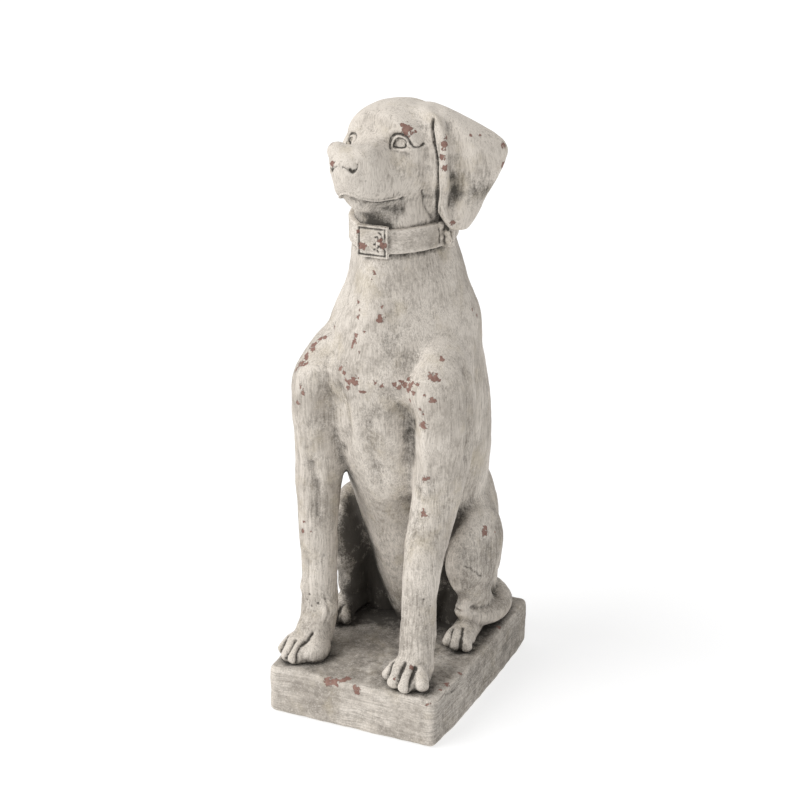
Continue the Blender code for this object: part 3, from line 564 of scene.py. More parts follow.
head = {
    "grain": 0.0011, "cutBelow": 551, "triangles": 194000,
    "smoothing": ((560, 585, 670, 700), (0.9, 0.5, 0.5, 0.9)), "smoothingRounds": 20,
    "shade": 1.0, "topStain": 0.0, "paintedSideShade": 0.0, "material": "headLimewash",
    "brush": {"stretch": (330, 330, 34), "wander": 1.0, "soil": -0.3, "brushed": 1.4, "mottled": 1.4},
    "bumps": [
        ((54, 4, 684), (22, 24, 15)), ((29, -34, 678), (18, 16, 15)), ((11, -111, 651), (8, 8, 9)),
        ((16, -88, 663), (13, 25, 11)), ((-29, -34, 678), (18, 16, 15)), ((-11, -111, 651), (8, 8, 9)),
        ((-18, -88, 663), (13, 25, 11)), ((0, -111, 656), (13, 10, 10)), ((0, 44, 612), (42, 34, 44)),
    ],
    "soft": [(0, -42, 700, 26, 60), (22, -42, 694, 18, 40), (-22, -42, 694, 18, 40), (40, -30, 694, 16, 30)],
    "skull": [
        (2, 54, 644, 26, 30, 2.0, 0.0), (3, 38, 646, 42, 47, 2.0, 0.0), (3, 14, 650, 53, 56, 2.0, 0.0),
        (2, -12, 650, 57, 61, 2.1, 0.0), (1, -27, 647, 55, 61, 2.3, 0.0), (0, -40, 643, 50, 58, 2.4, 0.0),
        (0, -50, 642, 42, 50, 2.3, 0.0), (0, -59, 642, 35, 42, 2.2, 0.0), (0, -69, 643, 33, 36, 2.4, 0.0),
        (-1, -80, 643, 32, 31, 2.8, 0.0), (-1, -92, 644, 32, 30, 3.2, 0.0), (-1, -102, 643, 30, 30, 3.2, 0.0),
        (-1, -109, 642, 21, 27, 2.9, 0.0),
    ],
    "cheek": [(28, -14, 628, 30, 42), (25, -36, 627, 28, 37), (21, -56, 624, 23, 29), (17, -76, 624, 19, 25),
              (14, -94, 625, 16, 20), (11, -105, 626, 12, 14)],
    "jaw": [(0, -20, 597, 46, 30), (0, -46, 599, 33, 25), (0, -66, 601, 23, 18), (0, -82, 604, 18, 14),
            (0, -95, 606, 15, 11)],
    "leftEarRoot": [(44, -8, 694, 13, 15), (54, -14, 674, 13, 14), (57, -15, 640, 12, 13),
                    (56, -15, 610, 12, 12), (53, -12, 586, 10, 10)],
    "rightEarRoot": [(-50, -6, 664, 12, 14), (-55, -12, 640, 12, 13), (-55, -13, 610, 11, 12),
                     (-53, -10, 586, 10, 10)],
    "leftEar": [
        ((37, -17, 704), (30, 24, 702)), ((58, -23, 696), (56, 30, 691)), ((65, -24, 682), (82, 42, 675)),
        ((67, -24, 665), (103, 53, 659)), ((67, -23, 644), (114, 57, 642)), ((65, -23, 622), (108, 50, 619)),
        ((63, -22, 604), (99, 42, 600)), ((61, -21, 586), (91, 32, 582)), ((63, -17, 570), (86, 21, 565)),
        ((68, -9, 555), (80, 8, 551)),
    ],
    "rightEar": [
        ((-30, -2, 690), (-30, 26, 692)), ((-46, -10, 684), (-50, 28, 685)),
        ((-55, -20, 668), (-66, 32, 670)), ((-59, -29, 650), (-74, 36, 648)),
        ((-58, -28, 620), (-76, 32, 618)), ((-56, -24, 592), (-72, 22, 590)),
        ((-60, -12, 562), (-68, 4, 560)),
    ],
    "earThickness": 5.5,
    "strokes": [
        (31, -50, 667, 15, -4.5), (-28, -52, 664, 16, -4.0), (41, -52, 640, 14, 2),
        (-6, -66, 673, 30, -5.0), (-14, -76, 672, 22, -5.0), (-19, -104, 670, 17, 6.0),
        (-41, -52, 640, 14, 2),
    ],
    "rightEyeShift": (5, -3, -2.5),
    "eye": (29.5, -41.5, 666.5),
    "eyeSizes": (9.5, 9.5, 7.5),
    "upperLid": [(25, -60, 662, 1.0), (27, -54, 669, 1.9), (33, -48, 675, 2.4), (40, -44, 672, 2.4),
                 (46, -38, 663, 2.0), (54, -29, 660, 1.1), (60, -22, 663, 0.7)],
    "lowerLid": [(26, -58, 660, 0.9), (33, -51, 658, 1.6), (41, -45, 658, 1.6), (47, -37, 661, 0.9)],
    "lip": [(1, -116, 620, 1.3), (9, -114, 617, 1.9), (19, -103, 610, 2.3), (24, -93, 607, 2.4),
            (28, -82, 605, 2.4), (33, -74, 604, 2.3), (36, -66, 604, 2.1), (38, -60, 606, 1.5),
            (37, -57, 609, 0.9)],
    "eyeLines": [
        (1.6, 1.4, 1.1, [(29, -61, 664), (26, -57, 668), (27, -54, 675), (30, -51, 678), (34, -49, 678),
                          (40, -48, 677), (44, -48, 674), (47, -47, 669), (49, -46, 665), (51, -43, 662),
                          (54, -38, 662), (57, -33, 664)]),
        (0.9, 0.9, 1.1, [(29, -55, 664), (29, -53, 668), (31, -52, 672), (35, -50, 673), (40, -49, 672),
                          (43, -49, 669), (42, -47, 665)]),
        (0.95, 0.9, 1.1, [(42, -47, 665), (40, -48, 662), (37, -50, 662), (34, -51, 662), (30, -53, 663)]),
        (0.8, -0.6, 0.0, [(28, -57, 664), (28, -56, 669), (30, -53, 673), (34, -52, 675), (38, -50, 675),
                          (41, -48, 673), (44, -47, 670), (46, -47, 665), (48, -45, 661)]),
        (2.6, -1.2, 0.0, [(25, -54, 681), (31, -51, 683), (38, -49, 682)]),
        (1.3, -0.7, 0.0, [(33, -54, 660), (39, -51, 659), (43, -48, 660)]),
    ],
    "eyeDents": [(35.5, -50, 667, 3.6, -0.6, -2.2), (34, -51, 668, 0.9, 0.4, 3.0),
                 (37, -50, 668, 0.9, 0.4, 3.0), (30, -64, 660, 3.0, 0.5, 0.25),
                 (35, -52, 672, 2.0, 0.3, 0.35)],
    "lines": [
        (2.1, 3.0, 0.95, [(12, -120, 650), (13.5, -118, 647.5), (16, -117, 648.5)]),
        (0.9, 1.0, 0.75, [(16, -117, 648), (18, -114, 651), (18, -113, 656)]),
        (0.9, 0.6, 0.5, [(4, -122, 654), (7, -122, 652.5), (11, -121, 650)]),
        (1.8, -1.1, 0.0, [(0, -122, 657), (6, -122, 656.5), (11, -120, 655), (15, -117, 656)]),
        (1.6, -1.1, 0.0, [(19, -113, 659), (21, -112, 655), (21, -114, 649), (18, -117, 645)]),
        # the lip's edge: a ridge lightened with a painted highlight
        (1.3, -1.1, -1.1, [(1, -117, 620), (8, -115, 618), (15, -110, 614), (19, -103, 611), (24, -93, 608),
                           (28, -82, 606), (33, -74, 606), (36, -66, 607), (38, -60, 607)]),
        # under the lip: a hollow band and a thin line darkened with painted shadow where the lip overhangs
        (3.4, 2.6, 0.22, [(2, -114, 614), (14, -108, 610), (20, -99, 604), (25, -88, 600), (30, -78, 598),
                          (35, -66, 598), (37, -58, 601)]),
        (1.0, 0.9, 0.3, [(2, -116, 616), (14, -110, 612), (20, -101, 607), (25, -90, 603), (30, -79, 602),
                          (35, -67, 602), (38, -60, 604)]),
        (3.6, 0.7, 0.0, [(2, -102, 602), (12, -94, 598), (17, -78, 593), (26, -63, 591), (34, -54, 589)]),
        (2.6, 1.6, 0.26, [(48, -33, 608), (48, -30, 599), (47, -29, 590), (48, -25, 581), (49, -19, 572)]),
        (4.0, 0.8, 0.05, [(39, -58, 604), (34, -54, 592), (32, -57, 580)]),
        (1.0, 0.5, 0.22, [(38, -73, 621), (35, -72, 611)]),
        (1.0, 0.5, 0.22, [(41, -68, 620), (38, -66, 611)]),
    ],
    "centreLines": [
        (1.5, 0.6, 0.06, [(0, -124, 644), (0, -122, 636), (0, -119, 628), (0, -117, 622)]),
        (6.0, 1.0, 0.0, [(0, -56, 682), (0, -46, 698), (0, -28, 708), (0, -6, 713)]),
    ],
    "leftEarLines": [
        # the ear's creases carry dark wash with painted shade; the ridged rims are lightened as painted
        # highlights
        (1.8, 4.0, 0.85, [(65, -21, 692), (65, -25, 678), (66, -25, 664), (68.5, -25, 650), (68.5, -25, 636),
                          (67, -25, 620), (64, -25, 605), (61, -23, 592), (56, -14, 577)]),
        (1.0, -1.5, -0.3, [(67, -23, 690), (69, -26, 675), (70.5, -26, 660), (71, -26, 634), (69.5, -25, 608),
                           (66, -23, 592), (62, -20, 579)]),
        (6.0, 1.6, 0.10, [(76, -5, 684), (79, -11, 669), (82, -16, 650), (81, -19, 636)]),
        (7.5, 2.0, 0.16, [(81, -14, 642), (80, -14, 630), (79, -9, 613), (76, -8, 600), (74, -9, 586)]),
        (0.8, 0.4, 0.3, [(85, 24, 679), (94, 32, 670), (103, 42, 663)]),
        (1.3, -1.4, -0.2, [(69, -31, 586), (73, -24, 574), (80, -15, 566), (88, -7, 565)]),
    ],
    "rightEarLines": [
        (2.1, 3.6, 0.9, [(-54, -22, 672), (-57, -30, 655), (-57, -31, 630), (-55, -28, 605),
                         (-54, -20, 585)]),
        (1.1, -1.2, 0.0, [(-58, -24, 670), (-62, -32, 650), (-61, -31, 620), (-60, -27, 594)]),
        (4.5, 1.8, 0.6, [(-68, -8, 625), (-67, -6, 610), (-65, -6, 594)]),
    ],
    # dents and flat patches: the dark ones under the lip, along the throat and below the brows are painted
    # shade, those on the ear's flap are dark wash with painted shade, and the negative ones on the muzzle and
    # the ear are painted highlights
    "dentsWashShadeAndHighlights": [
        (62, -27, 684, 6, 0.5, 0.28), (61, -27, 602, 9, 1.0, 0.3), (-2, -79, 588, 12, 0.0, 0.45),
        (10, -72, 585, 12, 0.0, 0.28), (24, -65, 586, 12, 0.0, 0.45), (29, -60, 594, 11, 0.0, 0.5),
        (7, -80, 578, 11, 0.0, 0.2), (24, -68, 577, 11, 0.0, 0.35), (9, -96, 600, 9, 0.0, 0.4),
        (14, -104, 608, 7, 0.0, 0.40), (23, -88, 602, 8, 0.0, 0.55), (34, -68, 600, 9, 0.0, 0.62),
        (29, -78, 600, 8, 0.0, 0.6), (14, -84, 594, 11, 0.0, 0.5), (4, -104, 606, 9, 0.0, 0.22),
        (44, -56, 646, 9, 0.4, 0.12), (38, -64, 638, 6, 0.5, 0.2), (8, -56, 690, 10, 0.4, 0.08),
        (-4, -50, 700, 12, 0.4, 0.08), (4, -122, 638, 1.4, 0.4, 0.45), (-3, -123, 640, 1.4, 0.4, 0.45),
        (19, -111, 636, 1.2, 0.3, 0.35), (23, -106, 635, 1.2, 0.3, 0.35), (42, -60, 634, 8, 0.2, 0.2),
        (24, -100, 632, 7, 0.2, 0.14), (50, -46, 640, 8, 0.2, 0.14), (93, 3, 615, 14, 0.6, 0.30),
        (97, 17, 600, 14, 0.5, 0.42), (105, 23, 617, 12, 0.4, 0.30), (80, -8, 600, 9, 0.3, 0.35),
        (82, -10, 622, 8, 0.3, 0.3), (88, 2, 664, 12, 0.4, 0.12), (95, 15, 595, 14, 0.4, 0.34),
        (97, 27, 590, 12, 0.4, 0.34), (101, 32, 600, 10, 0.3, 0.35), (88, 3, 588, 12, 0.3, 0.3),
        (78, -6, 601, 9, 0.2, 0.35), (76, -12, 594, 8, 0.2, 0.3), (-27, -61, 578, 12, 0.0, 0.55),
        (-14, -72, 581, 12, 0.0, 0.45), (-38, -50, 576, 11, 0.0, 0.45), (23, -60, 674, 5, 0.2, 0.3),
        (27, -69, 667, 5, 0.2, 0.25), (12, -70, 676, 9, 0.0, 0.14), (48, -30, 690, 9, 0.2, 0.2),
        (30, -30, 704, 12, 0.0, 0.12), (50, -44, 620, 9, 0.2, 0.18), (8, -44, 700, 24, 0.0, 0.13),
        (30, -20, 708, 20, 0.0, 0.10), (22, -90, 642, 18, 0.0, -0.2), (6, -116, 636, 14, 0.0, -0.15),
        (98, 14, 648, 26, 0.0, -0.25), (86, -4, 668, 18, 0.0, -0.2),
    ],
}


def ear(rows):
    run = through([list(front) + list(back) for front, back in rows], 7)
    side = math.copysign(1.0, rows[-1][0][0])
    rings = []
    for row in run:
        front, back = row[:3], row[3:]
        span = back - front
        width = np.linalg.norm(span)
        outward = np.cross(span, (0, 0, 1.0))
        outward *= math.copysign(1.0, outward[0] * side) / np.linalg.norm(outward)
        outer, inner = [], []
        for t in np.linspace(0, 1, 24):
            bow = width * (0.10 * math.sin(math.pi * t) + 0.07 * math.exp(-((t - 0.08) / 0.08) ** 2)
                           - 0.12 * math.exp(-((t - 0.27) / 0.11) ** 2))
            thick = head["earThickness"] * (1 - 0.3 * abs(2 * t - 1) ** 6)
            middle = front + span * t + outward * bow
            outer.append(posed(placed(*(middle + outward * thick))))
            inner.append(posed(placed(*(middle - outward * thick * (1.8 - 0.8 * t)))))
        rings.append(outer + inner[::-1])
    return skinned("ear", rings)


def faceZone(mesh):
    # 1 on the face in front of the ears, fading behind it
    local = (positions(mesh) - np.array(placed(0, 0, headPose["pivot"]))) @ np.array(poseMatrix())
    x, y, z = local.T * 1000
    front = np.clip((-22 - y) / 12, 0, 1)
    return front * np.clip((58 - np.abs(x)) / 8, 0, 1) * np.clip((z + 62) / 10, 0, 1)


def rightEye(rows):
    # the same rows for the right eye, which sits lower and nearer the nose
    across, along, up = head["rightEyeShift"]
    return [(across - row[0], row[1] + along, row[2] + up) + tuple(row[3:]) for row in rows]


def makeHead():
    forms = [limb(body["neck"]), limb(head["skull"], turn=posed), limb(head["jaw"], turn=posed)]
    forms += [limb(head["cheek"], turn=posed), limb(mirrored(head["cheek"]), turn=posed)]
    forms += [limb(head["leftEarRoot"], turn=posed), limb(head["rightEarRoot"], turn=posed)]
    forms += [ear(head["leftEar"]), ear(head["rightEar"])]
    forms += [ball(*row, turned=True) for row in head["bumps"]]
    whole = fuse(forms, "statueHead", head["grain"] * 2)
    high = heights(whole.data)
    relax(whole.data, np.interp(high, *head["smoothing"]), head["smoothingRounds"])
    soften(whole, head["soft"], posed)
    swell(whole, head["strokes"], turn=posed)
    print("head form", len(whole.data.vertices))

    skin = surfaceOf(whole)
    parts = [whole]
    for flip, flipEye in ((list, list), (mirrored, rightEye)):
        parts.append(ball(flipEye([head["eye"]])[0], head["eyeSizes"], turned=True))
        parts.append(cord(skin, flipEye(head["upperLid"]), 0.1, posed))
        parts.append(cord(skin, flipEye(head["lowerLid"]), -0.1, posed))
        parts.append(cord(skin, flip(head["lip"]), 0.0, posed))
    whole = fuse(parts, "statueHead", head["grain"])
    relax(whole.data, 0.25 + 0.55 * (1 - faceZone(whole.data)), 5)
    cutAt(whole, head["cutBelow"], True)
    otherEye = [(width, depth, wash, rightEye(path)) for width, depth, wash, path in head["eyeLines"]]
    carve(whole, head["lines"] + mirroredLines(head["lines"]) + head["centreLines"], posed)
    carve(whole, head["leftEarLines"] + head["rightEarLines"], posed)
    carve(whole, head["eyeLines"] + otherEye, posed)
    dent(whole, head["dentsWashShadeAndHighlights"] + mirrored(head["dentsWashShadeAndHighlights"][:2]), posed)
    dent(whole, head["eyeDents"] + rightEye(head["eyeDents"]), posed)
    print("head with features", len(whole.data.vertices))
    return whole


# the collar with its buckle and the end of its strap

collar = {
    "station": (1, 1, 554.5), "slope": 0.005, "halfWidth": 65.0, "halfDepth": 81.0, "height": 30.0,
    "wear": 1.2, "narrowFront": 0.18,
    "buckle": {"width": 43.0, "height": 43.0, "bar": 4.8, "proud": 5.0, "side": -2.0, "turn": 4.0},
    "grain": 0.0011, "shade": 1.0, "topStain": 0.0, "paintedSideShade": 0.0, "material": "collarLimewash",
    "brush": {"stretch": (110, 110, 220), "wander": 1.0, "soil": 0.1, "brushed": 0.6, "mottled": 1.0},
    "tongue": [  # on the buckle's own face, from its middle
        (1.0, 1.2, 0.9, [(4, -5, 6), (7, -5, 7), (9, -5, 3), (5, -5, 1), (3, -5, -3)]),
        (0.9, 1.0, 0.9, [(3, -5, -3), (8, -5, -6), (10, -5, -3), (13, -5, -6)]),
        (0.9, 1.0, 0.8, [(3, -5, -9), (6, -5, -8), (8, -5, -12)]),
        (1.2, 1.2, 0.5, [(9, -5, 12), (12, -5, 9), (13, -5, 4)]),
    ],
    "tongueLumps": [(8, -5, 2, 2.6, -1.8, -0.3), (12, -5, -1, 2.4, -1.6, -0.2), (6, -5, -6, 2.2, -1.4, -0.2),
                    (11, -5, -9, 2.8, -1.7, -0.3), (13, -5, 8, 2.2, -1.2, 0.0)],
    "lines": [
        (1.3, 1.0, 0.5, [(57, -24, 570), (59, -24, 557), (60, -24, 545)]),
        (1.6, 1.4, 0.4, [(66, -14, 572), (68, -14, 560), (70, -14, 546)]),
    ],
    "lumps": [(62, -22, 566, 4, -2.2, -0.5), (66, -20, 556, 3.4, -2.0, -0.5), (70, -18, 548, 4.5, -2.6, -0.5),
              (64, -22, 551, 3, -1.4, -0.3), (26, -76, 566, 4, 0.5, 0.3), (44, -62, 551, 6, 0.4, 0.14),
              (52, -50, 562, 7, 0.5, 0.16)],
}


def makeCollar():
    x, y, z = collar["station"]
    slope, half = collar["slope"], collar["height"] / 2
    up = Vector((0, slope, 1)).normalized()
    back = Vector((0, 1, -slope)).normalized()
    rings = []
    lowEdge = [(-half, 1.6), (-half + 0.5, 0.5), (-half + 1.6, 0)]
    highEdge = [(-high, inset) for high, inset in reversed(lowEdge)]
    for high, inset in lowEdge + highEdge:
        middle = placed(x, y, z) + up * high / 1000
        ring = oval(collar["halfWidth"] - inset, collar["halfDepth"] - inset, 2.0, collar["narrowFront"], 120)
        rings.append([middle + Vector((a, 0, 0)) / 1000 + back * b / 1000 for a, b in ring])
    strap = skinned("strap", rings)

    setting = collar["buckle"]
    pose = (Matrix.Rotation(math.radians(setting["turn"]), 3, "Z")
            @ Matrix.Rotation(-math.atan(slope), 3, "X"))
    deep = collar["halfDepth"] / 1000
    seat = placed(x + setting["side"], y, z) + Vector((0, -deep, slope * deep))

    def onStrap(thing, offset, lift):
        thing.data.transform(Matrix.Translation(seat - Vector((0, lift / 1000, 0))) @ pose.to_4x4()
                             @ Matrix.Translation(Vector(offset) / 1000))

    def onBuckle(point):
        return seat + pose @ (point - placed(0, 0, 0))

    def block(width, depth, height):
        deselectAll()
        bpy.ops.mesh.primitive_cube_add(size=0.001, scale=(width, depth, height))
        thing = bpy.context.active_object
        bpy.ops.object.transform_apply(location=False, rotation=False, scale=True)
        bpy.ops.object.mode_set(mode="EDIT")
        bpy.ops.mesh.select_all(action="SELECT")
        bpy.ops.mesh.bevel(offset=collar["wear"] / 1000, segments=3, affect="EDGES")
        bpy.ops.object.mode_set(mode="OBJECT")
        return thing

    frameOfBuckle = block(setting["width"], setting["proud"] * 2, setting["height"])
    makeActive(frameOfBuckle)
    mesh = frameOfBuckle.data
    front = max(mesh.polygons, key=lambda face: -face.normal.y * face.area)
    for face in mesh.polygons:
        face.select = face.index == front.index
    for edge in mesh.edges:
        edge.select = False
    bpy.ops.object.mode_set(mode="EDIT")
    bpy.ops.mesh.select_mode(type="FACE")
    bpy.ops.mesh.inset(thickness=(setting["bar"] - collar["wear"]) / 1000, depth=0)
    bpy.ops.mesh.inset(thickness=0.0008, depth=-setting["proud"] * 0.45 / 1000)
    bpy.ops.object.mode_set(mode="OBJECT")
    onStrap(frameOfBuckle, (0, 0, 0), 0.0)

    prong = block(setting["width"] * 0.3, setting["proud"] * 1.4, setting["height"] * 0.26)
    onStrap(prong, (setting["width"] * 0.28, 0, -setting["height"] * 0.06), setting["proud"] * 0.3)
    keeper = block(12.0, 12.0, collar["height"])
    spot = placed(x, y - 12, z) + Vector((collar["halfWidth"] / 1000, 0, -0.0024))
    keeper.data.transform(Matrix.Translation(spot) @ Matrix.Rotation(math.radians(-8), 4, "Z"))
    whole = fuse([strap, frameOfBuckle, prong, keeper], "statueCollar", collar["grain"])
    relax(whole.data, np.full(len(whole.data.vertices), 0.5), 2)
    dent(whole, collar["lumps"])
    carve(whole, collar["lines"])
    reach = setting["width"] / 2 - setting["bar"] - 0.6
    corners = [(-reach, -5, reach), (reach, -5, reach), (reach, -5, -reach), (-reach, -5, -reach)]
    sides = [(1.0, 1.3, wash, [a, tuple((np.array(a) + b) / 2), b])
             for a, b, wash in zip(corners, corners[1:] + corners[:1], (0.9, 0.5, 0.9, 1.0))]
    carve(whole, sides, onBuckle)
    dent(whole, collar["tongueLumps"], onBuckle)
    carve(whole, collar["tongue"], onBuckle)
    print("collar form", len(whole.data.vertices))
    return whole


# the plinth

plinth = {"width": 229.0, "depth": 310.0, "height": 66.0, "edge": 8.0, "swell": 5.0, "grain": 0.0022,
          # painted shade: the plinth's side faces are darkened all over; its top is stained darker
          "shade": 0.5, "topStain": 0.32, "paintedSideShade": 0.41, "material": "plinthLimewash",
          "brush": {"stretch": (9, 9, 260), "wander": 0.5, "soil": 0.1, "brushed": 0.45, "mottled": 0.5},
          # dents, and darker patches on the top around the dog
          "dentsAndDarkerPatches": [(0, 44, 0, 56, 0.0, 0.25), (-50, 24, 0, 46, 0.0, 0.25), (50, 44, 0, 44, 0.0, 0.2),
                     (60, -40, 0, 26, 0.0, 0.2), (-10, -90, 0, 40, 0.6, 0.0), (30, -60, 0, 34, 0.5, 0.12)],
          "scars": [(2.0, 0.9, 0.25, [(113, -122, -6), (115, -100, -10), (116, -84, -8)]),
                    (2.4, 0.9, 0.2, [(114, -110, -2), (116, -90, -5), (117, -70, -3)])]}


def makePlinth():
    deselectAll()
    bpy.ops.mesh.primitive_cube_add(size=0.001, location=(0, 0, plinth["height"] / 2000),
                                    scale=(plinth["width"], plinth["depth"], plinth["height"]))
    block = bpy.context.active_object
    makeActive(block)
    bpy.ops.object.transform_apply(location=True, rotation=False, scale=True)
    bpy.ops.object.mode_set(mode="EDIT")
    bpy.ops.mesh.select_all(action="SELECT")
    bpy.ops.mesh.bevel(offset=plinth["edge"] / 1000, segments=5, affect="EDGES")
    bpy.ops.object.mode_set(mode="OBJECT")
    whole = fuse([block], "statuePlinth", plinth["grain"])
    points = positions(whole.data)
    along = points[:, 1] / (plinth["depth"] / 2000)
    share = points[:, 0] / (plinth["width"] / 2000)
    points[:, 0] += share * plinth["swell"] / 1000 * (1 - along ** 2)
    move(whole.data, points)
    dent(whole, plinth["dentsAndDarkerPatches"])
    carve(whole, plinth["scars"])
    print("plinth form", len(whole.data.vertices))
    return whole


# weathering: unevenness, and masks for the washes of colour and for painted shade and painted highlights

# flakes of lime gone from the clay: (x, y, z, radius)
chipSpots = [
    (31, -53, 688, 6.2), (25, -55, 692, 2.2), (40, -46, 685, 1.9), (-42, -97, 668, 4), (-34, -117, 655, 3.5),
    (71, -30, 677, 3), (71, -36, 670, 4.5), (69, -37, 655, 3.5), (72, -37, 642, 3.5), (119, 27, 659, 3.5),
    (119, 27, 634, 4), (-13, -83, 549, 4.5), (15, -85, 553, 4), (11, -84, 559, 2.5), (92, -7, 676, 1.4),
    (99, 4, 674, 1.4), (-19, -85, 566, 2.5), (77, -25, 573, 3), (-16, -88, 479, 2.5), (-10, -93, 473, 2),
    (-11, -96, 465, 2.5), (17, -90, 479, 2), (17, -95, 466, 4.5), (-12, -102, 442, 3), (-13, -104, 434, 3),
    (-15, -105, 430, 2.5), (-1, -102, 449, 1.6), (-17, -105, 427, 2), (-4, -109, 423, 2.5),
    (-74, -75, 418, 2.5), (-79, -77, 413, 2.5), (-83, -79, 409, 3.5), (-88, -86, 400, 3.5),
    (-87, -94, 392, 3), (-98, -93, 381, 2.5), (-85, -107, 367, 2.5), (-82, -108, 360, 3),
    (-90, -106, 344, 2.5), (-57, -72, 436, 1.8), (-40, -84, 448, 1.6), (-70, -76, 424, 2.8),
    (-78, -80, 404, 3.2), (-92, -90, 388, 3.4), (-84, -88, 396, 2.8), (-80, -92, 388, 2.2),
    (-30, -109, 400, 3), (-14, -113, 386, 3), (44, -103, 386, 2.8), (50, -100, 390, 3), (64, -101, 392, 2.6),
    (66, -104, 384, 2.8), (76, -104, 366, 2.4), (92, -80, 425, 2.6), (-23, -111, 396, 2.5),
    (-20, -113, 390, 2), (-8, -116, 390, 5), (-18, -114, 379, 3), (1, -117, 378, 2.5), (5, -117, 380, 2),
    (18, -113, 391, 2.2), (24, -110, 388, 2.4), (38, -105, 390, 2.5), (46, -101, 393, 2), (53, -96, 395, 3),
    (60, -103, 388, 4.5), (56, -103, 384, 3), (70, -104, 394, 2.5), (83, -95, 402, 5), (86, -94, 400, 4.5),
    (87, -76, 419, 3), (89, -107, 379, 3.5), (58, -103, 372, 2.5), (80, -108, 383, 2), (79, -108, 359, 1.6),
    (77, -105, 343, 4.5), (78, -104, 350, 1.6), (75, -94, 269, 3.5), (78, -94, 273, 2), (72, -93, 221, 3.5),
    (72, -93, 227, 1.6), (85, 20, 450, 2), (87, 29, 439, 2.5), (106, 20, 154, 5), (108, 24, 160, 3),
    (111, 44, 144, 2), (-87, -101, 183, 2), (-90, -101, 169, 3), (-77, -102, 172, 1.6), (2, -81, 517, 2.2),
    (1, -84, 508, 2), (-30, -155, -4, 5), (-22, -154, -2, 5), (-8, -144, 0, 4.5), (-12, -150, 0, 3),
    (9, -155, -4, 4), (11, -156, -9, 3), (76, -135, 32, 3), (110, -105, 0, 3.5), (113, -72, -1, 2.5),
    (60, -150, 19, 1.6), (106, -155, -3, 3), (108, -122, 0, 2.5), (-96, 40, 264, 4), (-99, 52, 256, 3),
    (60, 96, 384, 3.5), (54, 98, 374, 2.5), (-50, 98, 350, 4), (-40, 104, 342, 2.5), (10, 110, 300, 3),
    (-112, 70, 130, 4), (-110, 50, 120, 2.5), (102, 96, 120, 3.5), (-30, 70, 500, 3), (-24, 74, 492, 2.2),
    (-115, -60, -2, 3.5), (-113, 30, -2, 4), (-114, 90, 0, 3), (40, 155, -2, 4), (48, 156, -6, 3),
    (-60, 155, -1, 3.5), (112, 60, -1, 3), (-30, 44, 690, 3),
]


goldenAngle = 2.39996

weatheringAndShade = {
    "closeReach": 0.0030, "closeWash": 1.5,  # narrow grooves
    "wideReach": 0.0085, "wideWash": 0.32,  # broad hollows
    # painted shade: the less sky a place sees, the darker its colour
    "skyFrom": 0.80, "skySpan": 0.45, "skyCurve": 1.4, "skyShade": 1.35,  # sheltered places
    "closeRub": 1.8, "wideRub": 0.3,
    # darker towards the bottom, fading out at a height
    "lowerDarkening": 0.23, "lowerDarkeningHeight": 0.36,
    "chipFade": 3, "chipGap": 0.009,
}


def uneven(thing, size, depth, seed):
    # the hand-modelled unevenness of a casting
    mesh = thing.data
    offset = Vector((seed * 7.1, seed * 3.7, seed * 1.3))
    amounts = np.array([noise.noise(point * 1000 / size + offset) for point in map(Vector, positions(mesh))])
    press(mesh, amounts * depth)
    points = positions(mesh)
    points[:, 2] = np.maximum(points[:, 2], 0.0)
    move(mesh, points)


def rayFan(rays):
    # directions spread evenly over the half sphere around +Z
    turns = np.arange(rays) + 0.5
    lift = 1 - turns / rays
    spin = turns * goldenAngle
    flat = np.sqrt(1 - lift ** 2)
    return np.stack([flat * np.cos(spin), flat * np.sin(spin), lift], axis=1)


def openness(thing, occluder, grain, cell=0.006, rays=20, clear=0.004, reach=0.12):
    # how much sky each point sees, from a grid of samples
    points, out = positions(thing.data), normals(thing.data)
    keys = np.floor(points / cell).astype(np.int64) + 4000
    keys = (keys[:, 0] * 10000 + keys[:, 1]) * 10000 + keys[:, 2]
    _, pick, back = np.unique(keys, return_index=True, return_inverse=True)
    fan = rayFan(rays)
    seen = np.empty(len(pick))
    for i, index in enumerate(pick):
        normal = Vector(out[index])
        start = Vector(points[index]) + normal * clear
        pose = np.array(normal.to_track_quat("Z", "Y").to_matrix())
        free = 0.0
        for ray in fan @ pose.T:
            hit = occluder.ray_cast(start, Vector(ray), reach)
            free += 1.0 if hit[0] is None else min(1.0, hit[3] / reach)
        seen[i] = free / rays
    rounds = int((1.3 * cell / grain) ** 2) + 4
    return averaged(seen[back.ravel()], edgePairs(thing.data), np.ones(len(points)), rounds)[:, 0]


def setMask(mesh, name, values):
    layer = mesh.attributes.new(name, "FLOAT", "POINT")
    layer.data.foreach_set("value", np.clip(values, 0, 1.6).astype(np.float32))


